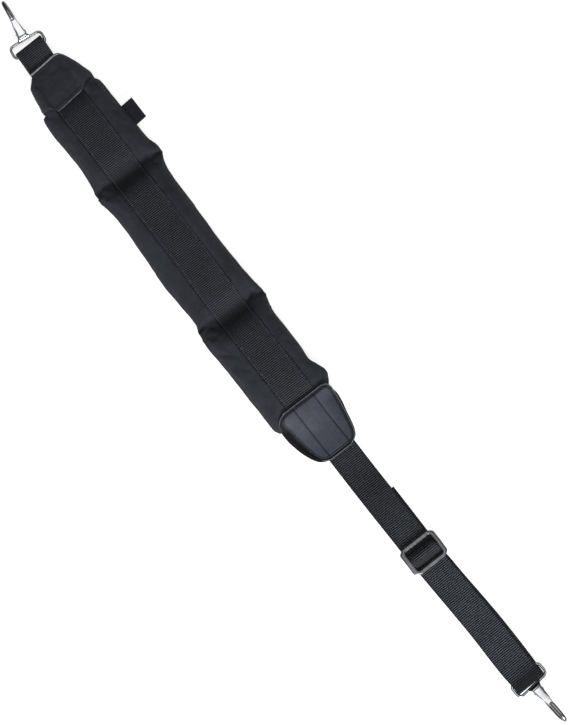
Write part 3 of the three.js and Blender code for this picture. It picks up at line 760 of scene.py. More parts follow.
# Blows the cloth up between its seams, and keeps each point within a few millimetres.
def inflate(piece, pinned, settings):
    group = piece.vertex_groups.new(name="sewn")
    for index, weight in pinned.items():
        group.add([index], weight, "REPLACE")
    before = [vertex.co.copy() for vertex in piece.data.vertices]
    normals = [vertex.normal.copy() for vertex in piece.data.vertices]
    makeActive(piece)
    cloth = piece.modifiers.new("Cloth", "CLOTH")
    for name, value in clothSettings.items():
        setattr(cloth.settings, name, value)
    cloth.settings.uniform_pressure_force = settings["pressure"]
    cloth.settings.effector_weights.gravity = 0
    cloth.point_cache.frame_end = settings["frames"]
    for step in range(1, settings["frames"] + 1):
        bpy.context.scene.frame_set(step)
    shaped = piece.evaluated_get(bpy.context.evaluated_depsgraph_get()).to_mesh()
    after = [vertex.co.copy() for vertex in shaped.vertices]
    piece.modifiers.remove(cloth)
    bpy.context.scene.frame_set(1)
    for vertex, normal, old, moved in zip(piece.data.vertices, normals, before, after):
        step = moved - old
        inward = -step.dot(normal) - settings["inward"] * mm
        if inward > 0:
            step += normal * inward
        free = smoothStep(settings["capEnd"] - 1, settings["capEnd"] + 4, inPlace(old).x)
        most = (settings["inset"] - 0.6) * mm * (1 - free) + settings["mostMove"] * mm * free
        vertex.co = old + step * (most / step.length if step.length > most else 1)
    piece.vertex_groups.clear()


# The capped part is shorter at its sides than over the webbing.
def sideDraw(at):
    return capSettings["sideDraw"] * min(1, max(0, abs(at.y + 1) - 19) / 19) * smoothStep(34, 58, at.x)


# The part of the cap's edge that crosses the webbing.
def flapAt(across):
    return smoothStep(-25, -19, across) * (1 - smoothStep(17, 22, across))


def flapShift(across):
    return (across + 1.5) * capSettings["lean"] + capSettings["rimShift"]


# How far along the edge of the cap lies.
def rimAlong(across):
    side = sideDraw(Vector((capSettings["rim"], across, 0)))
    return capSettings["rim"] + flapShift(across) * flapAt(across) - side


# How far the outline stands out: (along, away from the label, towards it).
outlineShift = [
    (60, 0, 0), (154, 0, 0.2), (164, 0.8, 1.5), (171, 1.5, 2), (179, 0.8, 0.9), (192, 0, 0), (215, 0, -0.8),
    (240, 0, -1.2), (268, 0, -0.5), (290, 0, 0), (365, 0, 0.3), (376, 1.3, 0), (395, 1.5, 0.9), (412, 1, 1.3),
    (432, 0.3, 0.5), (455, 0.2, -0.2), (480, 0.2, 0.5), (500, 0.2, 1.7), (512, 0, 1), (525, 0, 0),
]


# The crease along each cross seam and the puckers beside it.
def seamRelief(at, normal):
    relief = 0
    for number, seam in enumerate(crossSeams):
        distance = seamDistance(at, seam)
        top = smoothStep(0.2, 0.8, normal.z) + 0.3 * smoothStep(-0.3, -0.8, normal.z)
        relief -= top * padSettings["creaseDepth"] * bell(distance, padSettings["creaseWidth"])
        fade = math.exp(-abs(distance) / padSettings["puckerReach"]) * smoothStep(0, 4, abs(distance))
        fold = uneven(at.x * 0.02, (at.y - at.z) * 0.13, 5.3 + number * 7)
        relief += padSettings["pucker"] * 2 * fold * fade * (0.25 + 0.75 * abs(normal.z))
        ridge = padSettings["sideRidge"] * bell(distance, padSettings["sideRidgeWidth"])
        relief += ridge * (1 - abs(normal.z))
    return relief


def makePad(material):
    pad = nodeCopy("shoulder_pad", "shoulderPad")
    applied(pad, "REMESH", mode="VOXEL", voxel_size=padSettings["voxel"] * mm)
    insets = [vertex.normal * padSettings["inset"] * (0.12 + 0.88 * abs(vertex.normal.z)) * mm
              for vertex in pad.data.vertices]
    for vertex, inset in zip(pad.data.vertices, insets):
        vertex.co -= inset
    pinned = {}
    for vertex in pad.data.vertices:
        at = inPlace(vertex.co)
        nearSeam = min(abs(seamDistance(at, seam)) for seam in crossSeams)
        onStrip = abs(besideStrip(at)) < padStrip["width"] / 2 and at.z > 7
        if onStrip or nearSeam < 2.4:
            pinned[vertex.index] = 1.0
        elif nearSeam < 6:
            pinned[vertex.index] = 0.5
    inflate(pad, pinned, padSettings)
    applied(pad, "SUBSURF", levels=1, render_levels=1)
    for vertex, normal in facings(pad):
        at = inPlace(vertex.co)
        beside = abs(besideStrip(at))
        loose = smoothStep(18, 24, beside) if at.z > 6 else smoothStep(0, 6, at.z)
        sag = uneven(at.x * 0.018, at.y * 0.03, at.z * 0.03 + 2)
        wrinkles = uneven(at.x * 0.05, (at.y - at.z) * 0.09, 9)
        shift = seamRelief(at, normal) + (padSettings["sag"] * sag + padSettings["wrinkles"] * wrinkles)
        # The outline stands out a little, more on the label's side.
        least, most = padSettings["swell"]
        swell = least + (most - least) * smoothStep(-10, 10, at.y)
        shift += swell * (1 - abs(normal.z)) ** 0.5
        if at.x > padSettings["capEnd"] or shift < 0:
            vertex.co += normal * shift * loose * mm
        vertex.co.x -= sideDraw(at) * (1 - smoothStep(66, 95, at.x)) * mm
        wider = readTable(outlineShift, at.x)[at.y > 0] * smoothStep(24, 42, abs(at.y))
        vertex.co.y += (wider if at.y > 0 else -wider) * mm
        # The corner away from the label shows past the patch.
        vertex.co.x += padSettings["corner"] * smoothStep(496, 520, at.x) * smoothStep(-35, -44, at.y) * mm
        vertex.co.z -= padSettings["valley"] * valley(at.x) * smoothStep(0.2, 0.7, normal.z) * mm
        vertex.co.z = max(vertex.co.z, floorLevel * mm)
    meetNeighbours(pad)
    keepUnderStrip(pad)
    # Painted shade in the seam valleys and on the sides, where the cloth turns down.
    markPaintedShade(pad, seamPaintedShade, sides=padSettings["sideDark"])
    smooth(pad)
    finished(pad, material, "pad_fabric", "shoulder_pad")


# The cloth stands up against the edges of the webbing and of the cap.
def meetNeighbours(pad):
    strip, cap = (surfaceOf(bpy.data.objects[name]) for name in ("padWebbing", "padEndCap"))
    for vertex, normal in facings(pad):
        at = inPlace(vertex.co)
        middle = readTable(stripMiddle, at.x)[0]
        beside = abs(at.y - middle)
        if beside < padSettings["stripReach"] or at.z < 9 or normal.z < 0.1:
            continue
        height = at.z
        under = metFromAbove(strip, at.x, middle)[0]
        if under:
            creases = sum(bell(seamDistance(at, seam), padSettings["creaseWidth"]) for seam in crossSeams)
            creases *= smoothStep(20, 25, beside)
            drop = padSettings["besideStrip"][at.y > middle]
            level = under.z / mm - drop - padSettings["creaseDepth"] * creases
            height += max(0, level - height) * (1 - smoothStep(22, 35, beside))
        past = at.x - rimAlong(at.y)
        under = metFromAbove(cap, rimAlong(at.y) - 1.5, at.y)[0]
        if under and -3 < past < 16:
            share = smoothStep(-3, 0, past) * (1 - smoothStep(1, 15, past)) * smoothStep(0.1, 0.4, normal.z)
            height += max(0, under.z / mm - 0.5 - height) * share
        vertex.co.z += (height - at.z) * mm


# The top of the pad stays below the webbing that is sewn on it.
def keepUnderStrip(pad):
    strip = surfaceOf(bpy.data.objects["padWebbing"])
    for vertex in pad.data.vertices:
        at = inPlace(vertex.co)
        if abs(besideStrip(at)) > padSettings["stripReach"] or at.z < 6:
            continue
        under = strip.ray_cast(vertex.co - Vector((0, 0, 30 * mm)), Vector((0, 0, 1)))[0]
        if under:
            vertex.co.z = min(vertex.co.z, under.z - padSettings["underStrip"] * mm)


capSettings = {
    "voxel": 0.8, "smoothing": 6, "rim": 59, "rimShift": 1.9, "lean": -0.123, "hem": 5.5, "hemRise": 0.3,
    "hemSeam": 0.35, "folds": 0.9, "wrinkles": 0.35, "pulled": 1.1, "roll": 0.8, "sideDraw": 8,
    "corners": (1.3, 2), "rimDraw": 1.5, "rimSunk": 0.8, "sideDark": 0.7,
}
# How far the capped end is drawn in: (across, along).
endSkew = [(-40, 4.8), (-19, 4.0), (0, 2.4), (19, 0.3), (25, -0.7), (31, -0.5), (40, 0)]


def skewed(at):
    return readTable(endSkew, at.y)[0] * (1 - smoothStep(2, 34, at.x))


def makeEndCap(material, rollMaterial):
    cap = nodeCopy("pad_end_cap", "padEndCap")
    applied(cap, "REMESH", mode="VOXEL", voxel_size=capSettings["voxel"] * mm)
    applied(cap, "SMOOTH", factor=0.5, iterations=capSettings["smoothing"])
    for vertex, normal in facings(cap):
        at = inPlace(vertex.co)
        flap = flapAt(at.y) * smoothStep(12, 14, at.z)
        outer = smoothStep(-0.2, 0.2, normal.z) if at.z > 6 else 0
        fromRim = capSettings["rim"] - at.x
        hem = smoothStep(capSettings["hem"], capSettings["hem"] - 1.2, fromRim) if fromRim > 0 else 1
        hemSeam = bell(fromRim - capSettings["hem"], 0.8)
        folds = uneven(at.x * 0.06, at.y * 0.05, 3) * capSettings["folds"]
        folds += uneven(at.x * 0.12, at.y * 0.16, 8) * capSettings["wrinkles"]
        pulled = math.exp(-max(at.x, 0) / 10) * uneven(at.x * 0.03, at.y * 0.22, 1) * capSettings["pulled"]
        shift = outer * (folds + pulled) * smoothStep(0, 3, at.x)
        shift += outer * flap * (capSettings["hemRise"] * hem - capSettings["hemSeam"] * hemSeam)
        vertex.co += normal * shift * mm
        vertex.co.x += flapShift(at.y) * smoothStep(40, 59, at.x) * flap * mm
        vertex.co.x += (skewed(at) - sideDraw(at)) * mm
        # Fuller at both end corners, and drawn in at the rim on the label's side.
        labelCorner, otherCorner = capSettings["corners"]
        wider = labelCorner * bell(at.x - 20, 16) - capSettings["rimDraw"] * smoothStep(44, 58, at.x)
        vertex.co.y += smoothStep(20, 34, at.y) * wider * mm
        vertex.co.y -= otherCorner * smoothStep(-14, -24, at.y) * bell(at.x - 9, 9) * mm
        beside = smoothStep(20, 25, abs(at.y + 1)) * smoothStep(54, 58.5, at.x)
        vertex.co -= normal * capSettings["rimSunk"] * outer * beside * mm
        vertex.co.z = max(vertex.co.z, floorLevel * mm)
    # Painted shade on the sides, where the cloth turns down.
    markPaintedShade(cap, lambda at: 0, sides=capSettings["sideDark"])
    smooth(cap)
    finished(cap, material, "cap_fabric", "pad_end_cap")

    # The rolled edge of the flap, where it crosses the webbing.
    surface = surfaceOf(cap)
    edge = []
    for across in range(-20, 20):
        along = rimAlong(across) - 0.3
        top = metFromAbove(surface, along - 1.2, across)[0].z / mm
        edge.append(Vector((along, across, top - 0.3)))
    edge = evenly(edge, 0.6)
    radii = [capSettings["roll"] * mm * min(1, 0.35 + 4 * min(i, len(edge) - 1 - i) / len(edge))
             for i in range(len(edge))]
    roll = smooth(tubePiece("flapRoll", [place(*point) for point in edge], radii, 12))
    finished(roll, rollMaterial, "cap_fabric", "pad_end_cap")


# A round bar along points, each with its own radius.
def tubePiece(name, points, radii, sides, closed=False):
    clearSelection()
    line = bpy.data.curves.new(name, "CURVE")
    line.dimensions = "3D"
    line.bevel_depth = 1
    line.bevel_resolution = sides // 4 - 1
    line.use_fill_caps = not closed
    spline = line.splines.new("POLY")
    spline.points.add(len(points) - 1)
    for spot, point, radius in zip(spline.points, points, radii):
        spot.co = (*point, 1)
        spot.radius = radius
    spline.use_cyclic_u = closed
    makeActive(added(name, line))
    bpy.ops.object.convert(target="MESH")
    return facingOut(bpy.context.object)


piping = {
    "radius": 1.4, "joint": -1.2, "jointDepth": 0.3, "unevenness": 0.12,
    "route": [(2.7, -18.9, 8.2), (1.7, -8, 8.45), (0.6, 4, 8.5), (-0.5, 14, 8.45), (-0.7, 19, 8.3),
              (0.5, 23, 7.9), (3.4, 26, 7.6), (8, 28.6, 7.4), (13, 30.8, 7.4), (19, 33, 7.4),
              (26, 35.6, 7.4)],
}


def makePiping(material):
    points = evenly([Vector(point) for point in piping["route"]], 0.5)
    radii = []
    for point in points:
        joint = bell(point.y - piping["joint"], 0.5)
        thin = 1 - 0.65 * smoothStep(21, 29, point.y) - 0.28 * smoothStep(29, 35, point.y)
        radii.append(piping["radius"] * (1 - piping["jointDepth"] * joint) * thin * mm)
    cord = tubePiece("endPiping", [place(*point) for point in points], radii, 16)
    for vertex in cord.data.vertices:
        vertex.co.z += piping["unevenness"] * uneven(inPlace(vertex.co).y * 0.25, 4, 0) * mm
    finished(smooth(cord, 60), material, "piping", "end_piping")


label = {
    "start": 99.2, "end": 128.6, "inner": 42.6, "outer": 60.8, "height": 9.3, "gap": 0.42, "cloth": 0.32,
    "sag": 1.2, "curl": 0.5, "lean": 1.8,
}


def makeLabel(material):
    reach = label["outer"] - label["inner"]

    def pointAt(u, v):
        along = label["start"] + u * (label["end"] - label["start"])
        turn = (v - 0.5) * 2  # -1 and 1 are the two ends of the tape, and 0 is its fold
        side = math.copysign(1, turn)
        flat = min(1, abs(turn) * 1.06)
        across = label["outer"] - reach * max(0, flat - 0.03)
        apart = label["gap"] * min(1, abs(turn) / 0.05) ** 0.5
        sag = label["sag"] * smoothStep(label["inner"], label["outer"], across) ** 1.5
        curl = label["curl"] * (2 * u - 1) ** 2 * smoothStep(label["inner"] + 4, label["outer"], across)
        lean = label["lean"] * (0.5 - (across - label["inner"]) / reach)
        return place(along + lean, across, label["height"] - sag + curl + side * apart)

    tape = gridPiece("sideLabel", 28, 60, pointAt, (0.027, 0.032))
    applied(tape, "SOLIDIFY", thickness=label["cloth"] * mm, offset=0)
    smooth(tape, 40)
    finished(facingOut(tape), material, "label_fabric", "side_label")


# Each row is (along, right edge, left edge, crown, rim).
patchRows = [
    (513.3, -27, 26, 21, 20.4), (515.2, -33.5, 31.5, 20.8, 19.6), (518, -38, 34, 20.3, 18.2),
    (522.6, -41.4, 35, 18.9, 15.4), (533, -40.6, 34.3, 15.3, 8.8), (556, -37.4, 30.8, 7.6, 4.8),
    (575, -31.4, 26.7, 5.2, 4.7), (582, -26, 22.6, 5, 5), (586, -20.7, 17.6, 5, 5), (588, -16, 12.6, 5, 5),
]
panelRows = [
    (516.3, -27, 26.5), (517.7, -32, 30.4), (520.1, -35.3, 32.3), (525.6, -36.3, 33), (533, -35.2, 32.4),
    (556, -31.9, 28.9), (572.8, -28, 25.4), (579.2, -25.3, 22.8), (583.3, -21, 18.8), (585, -16.5, 14.4),
]
backingRows = [
    (523, -38, 32, 9), (526, -42, 35.4, 8), (531, -43, 36.2, 7.2), (540, -42.8, 35.6, 5.5),
    (556, -40.2, 32.4, 3.3), (566, -37.2, 30.4, 3.1), (574, -33.8, 28.2, 3.1), (582, -28.4, 24.2, 2.9),
    (586, -23, 19.6, 1.6), (588.6, -17, 13.6, 1.4),
]
patch = {
    "thickness": 1.4, "panelThickness": 0.9, "panelRise": 0.75, "backingThickness": 1.3, "backingLow": 1.45,
    "bead": 0.6, "middleRise": 0.5, "unevenness": 0.35, "bevel": 0.35,
    "seamRows": ((12.5, 14.1), (-16.6, -15)), "seamStart": 518, "seamLength": 65, "seamDepth": 0.5,
    # Lines along an edge: (height, how far inside the edge, reach).
    "edgeBead": (0.45, 0.9, 0.7), "edgeGroove": (-0.35, 2.4, 0.6), "panelGroove": (-0.3, 0, 0.5),
}


# A lengthwise seam of the patch runs a little askew, from its first place to its last.
def seamAcross(seam, along):
    return seam[0] + (seam[1] - seam[0]) * (along - patch["seamStart"]) / patch["seamLength"]


# 0 in the middle between two edges and 1 at either.
def towardsEdge(across, right, left):
    return min(1, abs(across - (left + right) / 2) / ((left - right) / 2))


def patchTop(along, across):
    right, left, crown, rim = readTable(patchRows, along)
    top = crown + (rim - crown) * towardsEdge(across, right, left) ** 3
    for seam in patch["seamRows"]:
        top -= patch["seamDepth"] * bell(across - seamAcross(seam, along), 1.1)
    top += patch["middleRise"] * math.exp(-((across + 1.8) / 9) ** 4) * smoothStep(512, 530, along)
    return top + patch["unevenness"] * uneven(along * 0.05, across * 0.07, 6)


# From first to last, with closer steps near both.
def eased(first, last, share):
    return first + (last - first) * (0.5 - 0.5 * math.cos(math.pi * share))


def sheetPiece(name, rows, topAt, thickness, alongCount, acrossCount):
    def pointAt(u, v):
        along = eased(rows[0][0], rows[-1][0], u)
        right, left = readTable(rows, along)[:2]
        across = eased(right, left, v)
        return place(along, across, topAt(along, across))

    piece = gridPiece(name, alongCount, acrossCount, pointAt, (0.076, 0.076))
    applied(piece, "SOLIDIFY", thickness=thickness * mm, offset=-1)
    facingOut(piece)
    applied(piece, "BEVEL", width=patch["bevel"] * mm, segments=2, limit_method="ANGLE",
            angle_limit=math.radians(50))
    return smooth(piece, 40)


# The outline of a sheet made from rows, as a closed line.
def sheetOutline(rows, steps=50):
    places = [eased(rows[0][0], rows[-1][0], k / steps) for k in range(steps + 1)]
    outline = [Vector((along, readTable(rows, along)[1], 0)) for along in places]
    outline += [Vector((along, readTable(rows, along)[0], 0)) for along in places[::-1]]
    return outline + outline[:1]


# How far inside a sheet's outline a place is.
def fromEdge(rows, along, across):
    right, left = readTable(rows, along)[:2]
    return min(across - right, left - across, along - rows[0][0], rows[-1][0] - along)


def edgeLine(inside, line):
    height, inset, reach = line
    return height * bell(inside - inset, reach)


def makePatch(borderLeather, panelLeather, edgeLeather, backingCloth):
    def borderTop(along, across):
        inside = fromEdge(patchRows, along, across)
        return (patchTop(along, across) + edgeLine(inside, patch["edgeBead"])
                + edgeLine(inside, patch["edgeGroove"]))

    def panelTop(along, across):
        inside = fromEdge(panelRows, along, across)
        return (patchTop(along, across) + patch["panelRise"] + edgeLine(inside, patch["panelGroove"])
                + 0.25 * smoothStep(1.5, 5, inside))

    def backingTop(along, across):
        right, left, rim = readTable(backingRows, along)
        low = patch["backingLow"]
        return low + (rim - low) * towardsEdge(across, right, left) ** 8

    border = sheetPiece("patchBorder", patchRows, borderTop, patch["thickness"], 90, 90)
    panel = sheetPiece("patchPanel", panelRows, panelTop, patch["panelThickness"], 84, 84)
    backing = sheetPiece("patchBacking", backingRows, backingTop, patch["backingThickness"], 40, 60)
    ring = evenly(sheetOutline(patchRows), 0.8)[:-1]
    points = [place(spot.x, spot.y, patchTop(spot.x, spot.y) - 0.15) for spot in ring]
    # The edge is turned under along the side away from the label.
    radii = [patch["bead"] * mm * (1 - 0.95 * smoothStep(-20, -27, spot.y) * smoothStep(518, 530, spot.x))
             for spot in ring]
    bead = smooth(tubePiece("patchBead", points, radii, 12, True))

    # Painted shade where the edge is turned under, and along the grooves of the rows of stitches.
    def shaded(at):
        return smoothStep(-24, -30, at.y) * smoothStep(516, 526, at.x)

    def stitched(at):
        lengthwise = sum(bell(at.y - seamAcross(seam, at.x), 0.9) for seam in patch["seamRows"])
        return min(1, 0.75 * lengthwise + 0.7 * bell(fromEdge(panelRows, at.x, at.y) - stitch["inset"], 0.9))

    markPaintedShade(border, shaded)
    markPaintedShade(bead, shaded)
    markPaintedShade(panel, stitched)
    # The bead's lighter leather is a painted highlight.
    for piece, leather in ((bead, edgeLeather), (border, borderLeather), (panel, panelLeather)):
        finished(piece, leather, "patch_leather", "end_patch")
    finished(backing, backingCloth, "backing_fabric", "patch_backing")
    return panel


stitch = {
    "length": 2.45, "pitch": 3.1, "radius": 0.62, "rise": 0.36, "inset": 1.3, "panelEnds": (517.6, 583.7),
    "seamEnds": (517.4, 584), "stripEnds": (64, 512), "stripScale": 0.95, "stripEdge": 18.2, "proud": 0.05,
}


# Rows of stitches laid on a piece. Each row is a list of (along, across) points.
def stitchRows(name, piece, rows, material, slot, scale=1):
    surface = surfaceOf(piece)
    clearSelection()
    bpy.ops.mesh.primitive_uv_sphere_add(segments=8, ring_count=5, radius=1)
    one = bpy.context.object
    made = []
    for row in rows:
        spots = evenly([Vector((*spot, 0)) for spot in row], stitch["pitch"] * scale)
        for here, there in zip(spots, spots[1:]):
            middle = (here + there) / 2
            hit, normal = metFromAbove(surface, middle.x, middle.y)
            if hit is None:
                continue
            ahead = (there - here).normalized()
            side = normal.cross(ahead).normalized()
            ahead = side.cross(normal)
            turn = Matrix((ahead, side, normal)).transposed().to_4x4()
            size = Matrix.Diagonal((stitch["length"] / 2 * scale * mm, stitch["radius"] * scale * mm,
                                    stitch["rise"] * scale * mm, 1))
            copy = added(name, one.data.copy())
            copy.data.transform(Matrix.Translation(hit + normal * stitch["proud"] * mm) @ turn @ size)
            made.append(copy)
    bpy.data.objects.remove(one)
    finished(smooth(joined(made, name)), material, slot)


def makeStitches(panel, material, stripMaterial):
    first, last = stitch["panelEnds"]
    places = [max(min(row[0], last), first) for row in panelRows]
    left = [(along, row[2] - stitch["inset"]) for along, row in zip(places, panelRows)]
    right = [(along, row[1] + stitch["inset"]) for along, row in zip(places, panelRows)]
    outline = left + right[::-1] + [left[0]]
    lengthwise = [list(zip(stitch["seamEnds"], seam)) for seam in patch["seamRows"]]
    stitchRows("patchStitches", panel, [outline] + lengthwise, material, "patch_leather")
    edges = [[(along, readTable(stripMiddle, along)[0] + across) for along in range(*stitch["stripEnds"], 8)]
             for across in (-stitch["stripEdge"], stitch["stripEdge"])]
    stitchRows("stripStitches", bpy.data.objects["padWebbing"], edges, stripMaterial, "webbing",
               stitch["stripScale"])


sliderSettings = {"voxel": 0.42, "smoothing": 16, "grow": (1.055, 1.03), "cheek": (2.9, 1.9), "fill": 0.25}


def makeSlider(material):
    buckle = nodeCopy("slider", "ladderSlider")
    applied(buckle, "REMESH", mode="VOXEL", voxel_size=sliderSettings["voxel"] * mm)
    applied(buckle, "SMOOTH", factor=0.5, iterations=sliderSettings["smoothing"])
    low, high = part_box("slider")
    middle = (low + high) / 2
    for vertex in buckle.data.vertices:
        for axis in (0, 1):
            vertex.co[axis] = middle[axis] + (vertex.co[axis] - middle[axis]) * sliderSettings["grow"][axis]
        # The cheeks reach in to the webbing.
        beside = (vertex.co.y - middle.y) / mm
        reach = smoothStep(14, 21, abs(beside)) * (1 - smoothStep(22, 24.6, abs(beside)))
        vertex.co.y -= math.copysign(sliderSettings["cheek"][beside > 0] * reach, beside) * mm
    for vertex, normal in facings(buckle):
        vertex.co += normal * sliderSettings["fill"] * mm
    finished(smooth(buckle), material, "slider_plastic", "slider")


# A hook lies along its own x axis with the middle of its ring at the origin and its gate up.
ringSize = {"length": 20, "width": 46.4, "wire": 3.3, "corner": 5.5, "steps": 14}
# The middle of the crook's bar: (along, height, radius).
crookRows = [(19, -4.3, 3.2), (26, -4.4, 3.05), (32, -4.4, 2.95), (44, -4.3, 2.9), (53, -3.2, 2.75),
             (57.4, -0.7, 2.55), (59.2, 2.6, 2.45), (59.2, 5.4, 2.45), (57.3, 8.6, 2.5), (53, 10.5, 2.6),
             (46, 11.0, 2.7), (39, 10.8, 2.7), (35, 10.45, 2.65), (33.8, 10.4, 2.2), (33.4, 10.4, 1.2)]
# The shank between the ring and the crook, its collar and the gate: (along, half width, lowest, highest).
shankRows = [(6.9, 11, -1, 1.3), (7.5, 11.2, -1.3, 1.75), (8.4, 10.4, -1.5, 2.1), (9.1, 9.3, -1.8, 3),
             (9.8, 8.2, -2.1, 4.1), (10.6, 7.4, -2.5, 4.7), (11.4, 7, -2.8, 4.9), (11.9, 6.6, -3, 4.9),
             (12.2, 4.9, -3.2, 3.3), (15, 4.55, -5.6, 3.5), (20, 4.05, -6.7, 3), (24, 3.4, -6.9, 0.8),
             (28, 2.9, -6.7, -2.2)]
collarRows = [(9.7, 7.6, 1.6, 3.9), (10.4, 7.1, 1.8, 4.7), (11.4, 6.7, 2, 5), (12.65, 6.2, 2.2, 5.1)]
gateRows = [(12.9, 6.1, -1.6, 5.2), (14, 6.0, -2.3, 5.35), (17, 5.75, -2.6, 5.75), (20, 5.4, -2.2, 6.1),
            (25, 4.8, 2.6, 6.8), (28, 4.4, 5, 7.2), (30, 3.6, 5.6, 7.4), (33, 3.3, 6, 7.7),
            (36.6, 3.1, 6.4, 7.95)]
# One side of the bent sheet's section, from its lower edge up: shares of its width and height.
gateFlank = [(1, 0), (1, 0.35), (1, 0.62), (0.99, 0.78), (0.95, 0.89), (0.87, 0.95), (0.74, 0.98),
             (0.4, 0.995)]
hookSettings = {
    "voxel": 0.34, "smoothing": 6, "barSides": 28, "gateSheet": 0.85, "gateBevel": 0.18,
    "pin": (17, 1), "pinRadius": 1.1, "pinSides": 32, "pinLength": 13, "headRadius": 1.9, "headHeight": 0.7,
    "headBevel": 0.25, "holeRoom": 0.3, "holeLength": 30,
    # How much painted shade darkens each part in the material.
    "crookDull": 0.6, "neckDull": 0.6, "ringDull": 0.15, "sidesDull": 0.8,
}


def roundedRing():
    radius, corner, steps = ringSize["wire"] / 2, ringSize["corner"], ringSize["steps"]
    x, y = ringSize["length"] / 2 - radius - corner, ringSize["width"] / 2 - radius - corner
    points = []
    for quarter, middle in enumerate(((x, y), (-x, y), (-x, -y), (x, -y))):
        for k in range(steps + 1):
            angle = math.pi / 2 * (quarter + k / steps)
            along, across = middle[0] + corner * math.cos(angle), middle[1] + corner * math.sin(angle)
            points.append(Vector((along, across, 0)) * mm)
    return points


# A bar along x with round edges, from rows of half width, lowest and highest.
def barPiece(name, rows, count):
    sides = hookSettings["barSides"]

    def pointAt(u, v):
        along = rows[0][0] + u * (rows[-1][0] - rows[0][0])
        half, low, high = readTable(rows, along)
        angle = 2 * math.pi * round(v * sides) / sides
        c, s = math.cos(angle), math.sin(angle)
        grow = (abs(c) ** 3 + abs(s) ** 3) ** (-1 / 3)  # nearly square, with round corners
        return Vector((along, half * c * grow, (low + high) / 2 + (high - low) / 2 * s * grow)) * mm

    return endsClosed(gridPiece(name, count, sides, pointAt, (0.02, 0.02)))


def pinPlace():
    return Vector((hookSettings["pin"][0], 0, hookSettings["pin"][1])) * mm


def pinPiece(name, radius, length):
    clearSelection()
    bpy.ops.mesh.primitive_cylinder_add(vertices=hookSettings["pinSides"], radius=radius * mm,
                                        depth=length * mm, location=pinPlace(), rotation=(math.pi / 2, 0, 0))
    bpy.ops.object.transform_apply(location=True, rotation=True, scale=True)
    bpy.context.object.name = name
    return bpy.context.object


def drilled(piece):
    hole = pinPiece("hole", hookSettings["pinRadius"] + hookSettings["holeRoom"], hookSettings["holeLength"])
    applied(piece, "BOOLEAN", operation="DIFFERENCE", object=hole, solver="EXACT")
    bpy.data.objects.remove(hole)


# Painted shade and painted dark reflections: the crook and the neck are darker than the rest, and so are both
# sides of the ring's wire.
def hookPaintedShade(at):
    reach = ringSize["wire"] / 2 + ringSize["corner"]
    pastX = max(0, abs(at.x) - ringSize["length"] / 2 + reach)
    pastY = max(0, abs(at.y) - ringSize["width"] / 2 + reach)
    side = math.hypot(pastX, pastY) - ringSize["corner"]  # negative towards the opening
    onRing = 1 - smoothStep(9.6, 10.4, at.x)
    sides = max(1 - smoothStep(-0.85, -0.15, side), 0.7 * smoothStep(1, 1.5, side))
    neck = smoothStep(8.6, 9.6, at.x) * (1 - smoothStep(12.6, 13, at.x))
    return (hookSettings["crookDull"] * smoothStep(31, 37, at.x) + hookSettings["neckDull"] * neck
            + hookSettings["ringDull"] * onRing + hookSettings["sidesDull"] * sides * onRing)


def hookShape():
    ringPoints = roundedRing()
    ring = tubePiece("ring", ringPoints, [ringSize["wire"] / 2 * mm] * len(ringPoints), 24, True)
    line = evenly([Vector((along, radius, height)) for along, height, radius in crookRows], 0.5)
    points = [Vector((spot.x, 0, spot.z)) * mm for spot in line]
    crook = tubePiece("crook", points, [spot.y * mm for spot in line], 24)
    shank, collar = barPiece("shank", shankRows, 60), barPiece("collar", collarRows, 12)
    shape = joined([ring, crook, shank, collar], "hookShape")
    applied(shape, "REMESH", mode="VOXEL", voxel_size=hookSettings["voxel"] * mm)
    drilled(shape)
    applied(shape, "SMOOTH", factor=0.5, iterations=hookSettings["smoothing"])
    markPaintedShade(shape, hookPaintedShade, placeOf=lambda point: point / mm)
    return smooth(shape)


def gateShape():
    section = [(-across, up) for across, up in gateFlank] + [(0, 1)] + gateFlank[::-1]

    def pointAt(u, v):
        along = gateRows[0][0] + u * (gateRows[-1][0] - gateRows[0][0])
        half, low, high = readTable(gateRows, along)
        across, up = section[round(v * (len(section) - 1))]
        return Vector((along, across * half, low + up * (high - low))) * mm

    sheet = gridPiece("gateShape", 48, len(section) - 1, pointAt, (0.024, 0.02))
    applied(sheet, "SOLIDIFY", thickness=hookSettings["gateSheet"] * mm, offset=-1)
    drilled(facingOut(sheet))
    applied(sheet, "BEVEL", width=hookSettings["gateBevel"] * mm, segments=2, limit_method="ANGLE",
            angle_limit=math.radians(50))
    return smooth(sheet, 40)


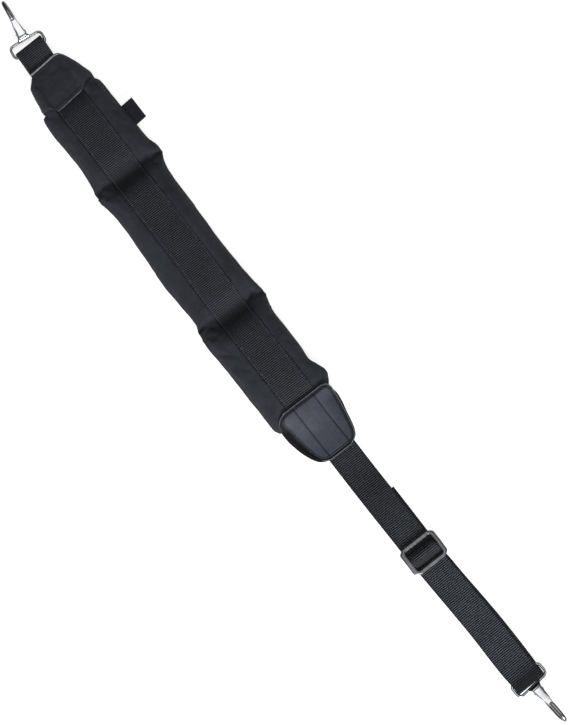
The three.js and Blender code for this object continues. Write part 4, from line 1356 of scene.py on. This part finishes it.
def pinShape():
    shaft = pinPiece("gatePin", hookSettings["pinRadius"], hookSettings["pinLength"])
    heads = []
    for way in (-1, 1):
        head = pinPiece("head", hookSettings["headRadius"], hookSettings["headHeight"])
        end = (hookSettings["pinLength"] - hookSettings["headHeight"]) / 2
        head.data.transform(Matrix.Translation((0, way * end * mm, 0)))
        heads.append(applied(head, "BEVEL", width=hookSettings["headBevel"] * mm, segments=3,
                             limit_method="ANGLE"))
    return smooth(joined([shaft, *heads], "gatePin"), 35)


# Each hook is put where the joint of its gate is, with its pin on the joint's axis.
def makeHooks(metal):
    shapes = (("Hook", hookShape(), "hook_chrome", "_hook"), ("Gate", gateShape(), "gate_chrome", "_gate"),
              ("GatePin", pinShape(), "pin_chrome", "_gate_pin"))
    for joint in frame["joints"]:
        end = joint["name"].split("_")[0]
        yAxis = Vector(joint["axis"]).normalized()
        xAxis = yAxis.cross(Vector((0, 0, 1))).normalized()
        zAxis = xAxis.cross(yAxis)
        turn = Matrix((xAxis, yAxis, zAxis)).transposed().to_4x4()
        seat = Matrix.Translation(joint["pos_m"]) @ turn @ Matrix.Translation(-pinPlace())
        for kind, shape, slot, node in shapes:
            piece = added(end + kind, shape.data.copy())
            piece.data.transform(seat)
            finished(piece, metal, slot, end + node, rides=end + "_gate_body" if kind == "Gate" else body)
    for _, shape, _, _ in shapes:
        bpy.data.objects.remove(shape)


print("camera, lights and floor")
makeCamera()
makeLights()
makeFloor(floorLook())
print("webbing")
# Painted light: a rim below 0 lightens the webbing's edges.
webbingCloth = webbingLook("ribbedWebbing", rim=-0.7)
makePadWebbing(webbingCloth)
makeUpperLoop(webbingCloth)
# A more brightly lit copy of the webbing: brighter painted highlights on the rib crowns, painted light on the
# lower end and painted shade at the edges.
makeAdjusterWebbing(webbingLook("adjusterRibs", sharp=5, worn=0.35, beads=0.2, rim=0.75))
print("end cap and padded section")
makeEndCap(padClothLook("capCloth"), foldLook())
makePad(padClothLook("padCloth"))
print("piping and label")
makePiping(pipingLook())
makeLabel(labelLook())
print("leather patch")
patchPanel = makePatch(leatherLook("borderLeather", 0.1), leatherLook("panelLeather", 0.18),
                       leatherLook("edgeLeather"), padClothLook("backingCloth"))
makeStitches(patchPanel, threadLook("darkThread"), threadLook("stripThread"))
print("slider")
makeSlider(plasticLook())
print("hooks")
makeHooks(chromeLook())
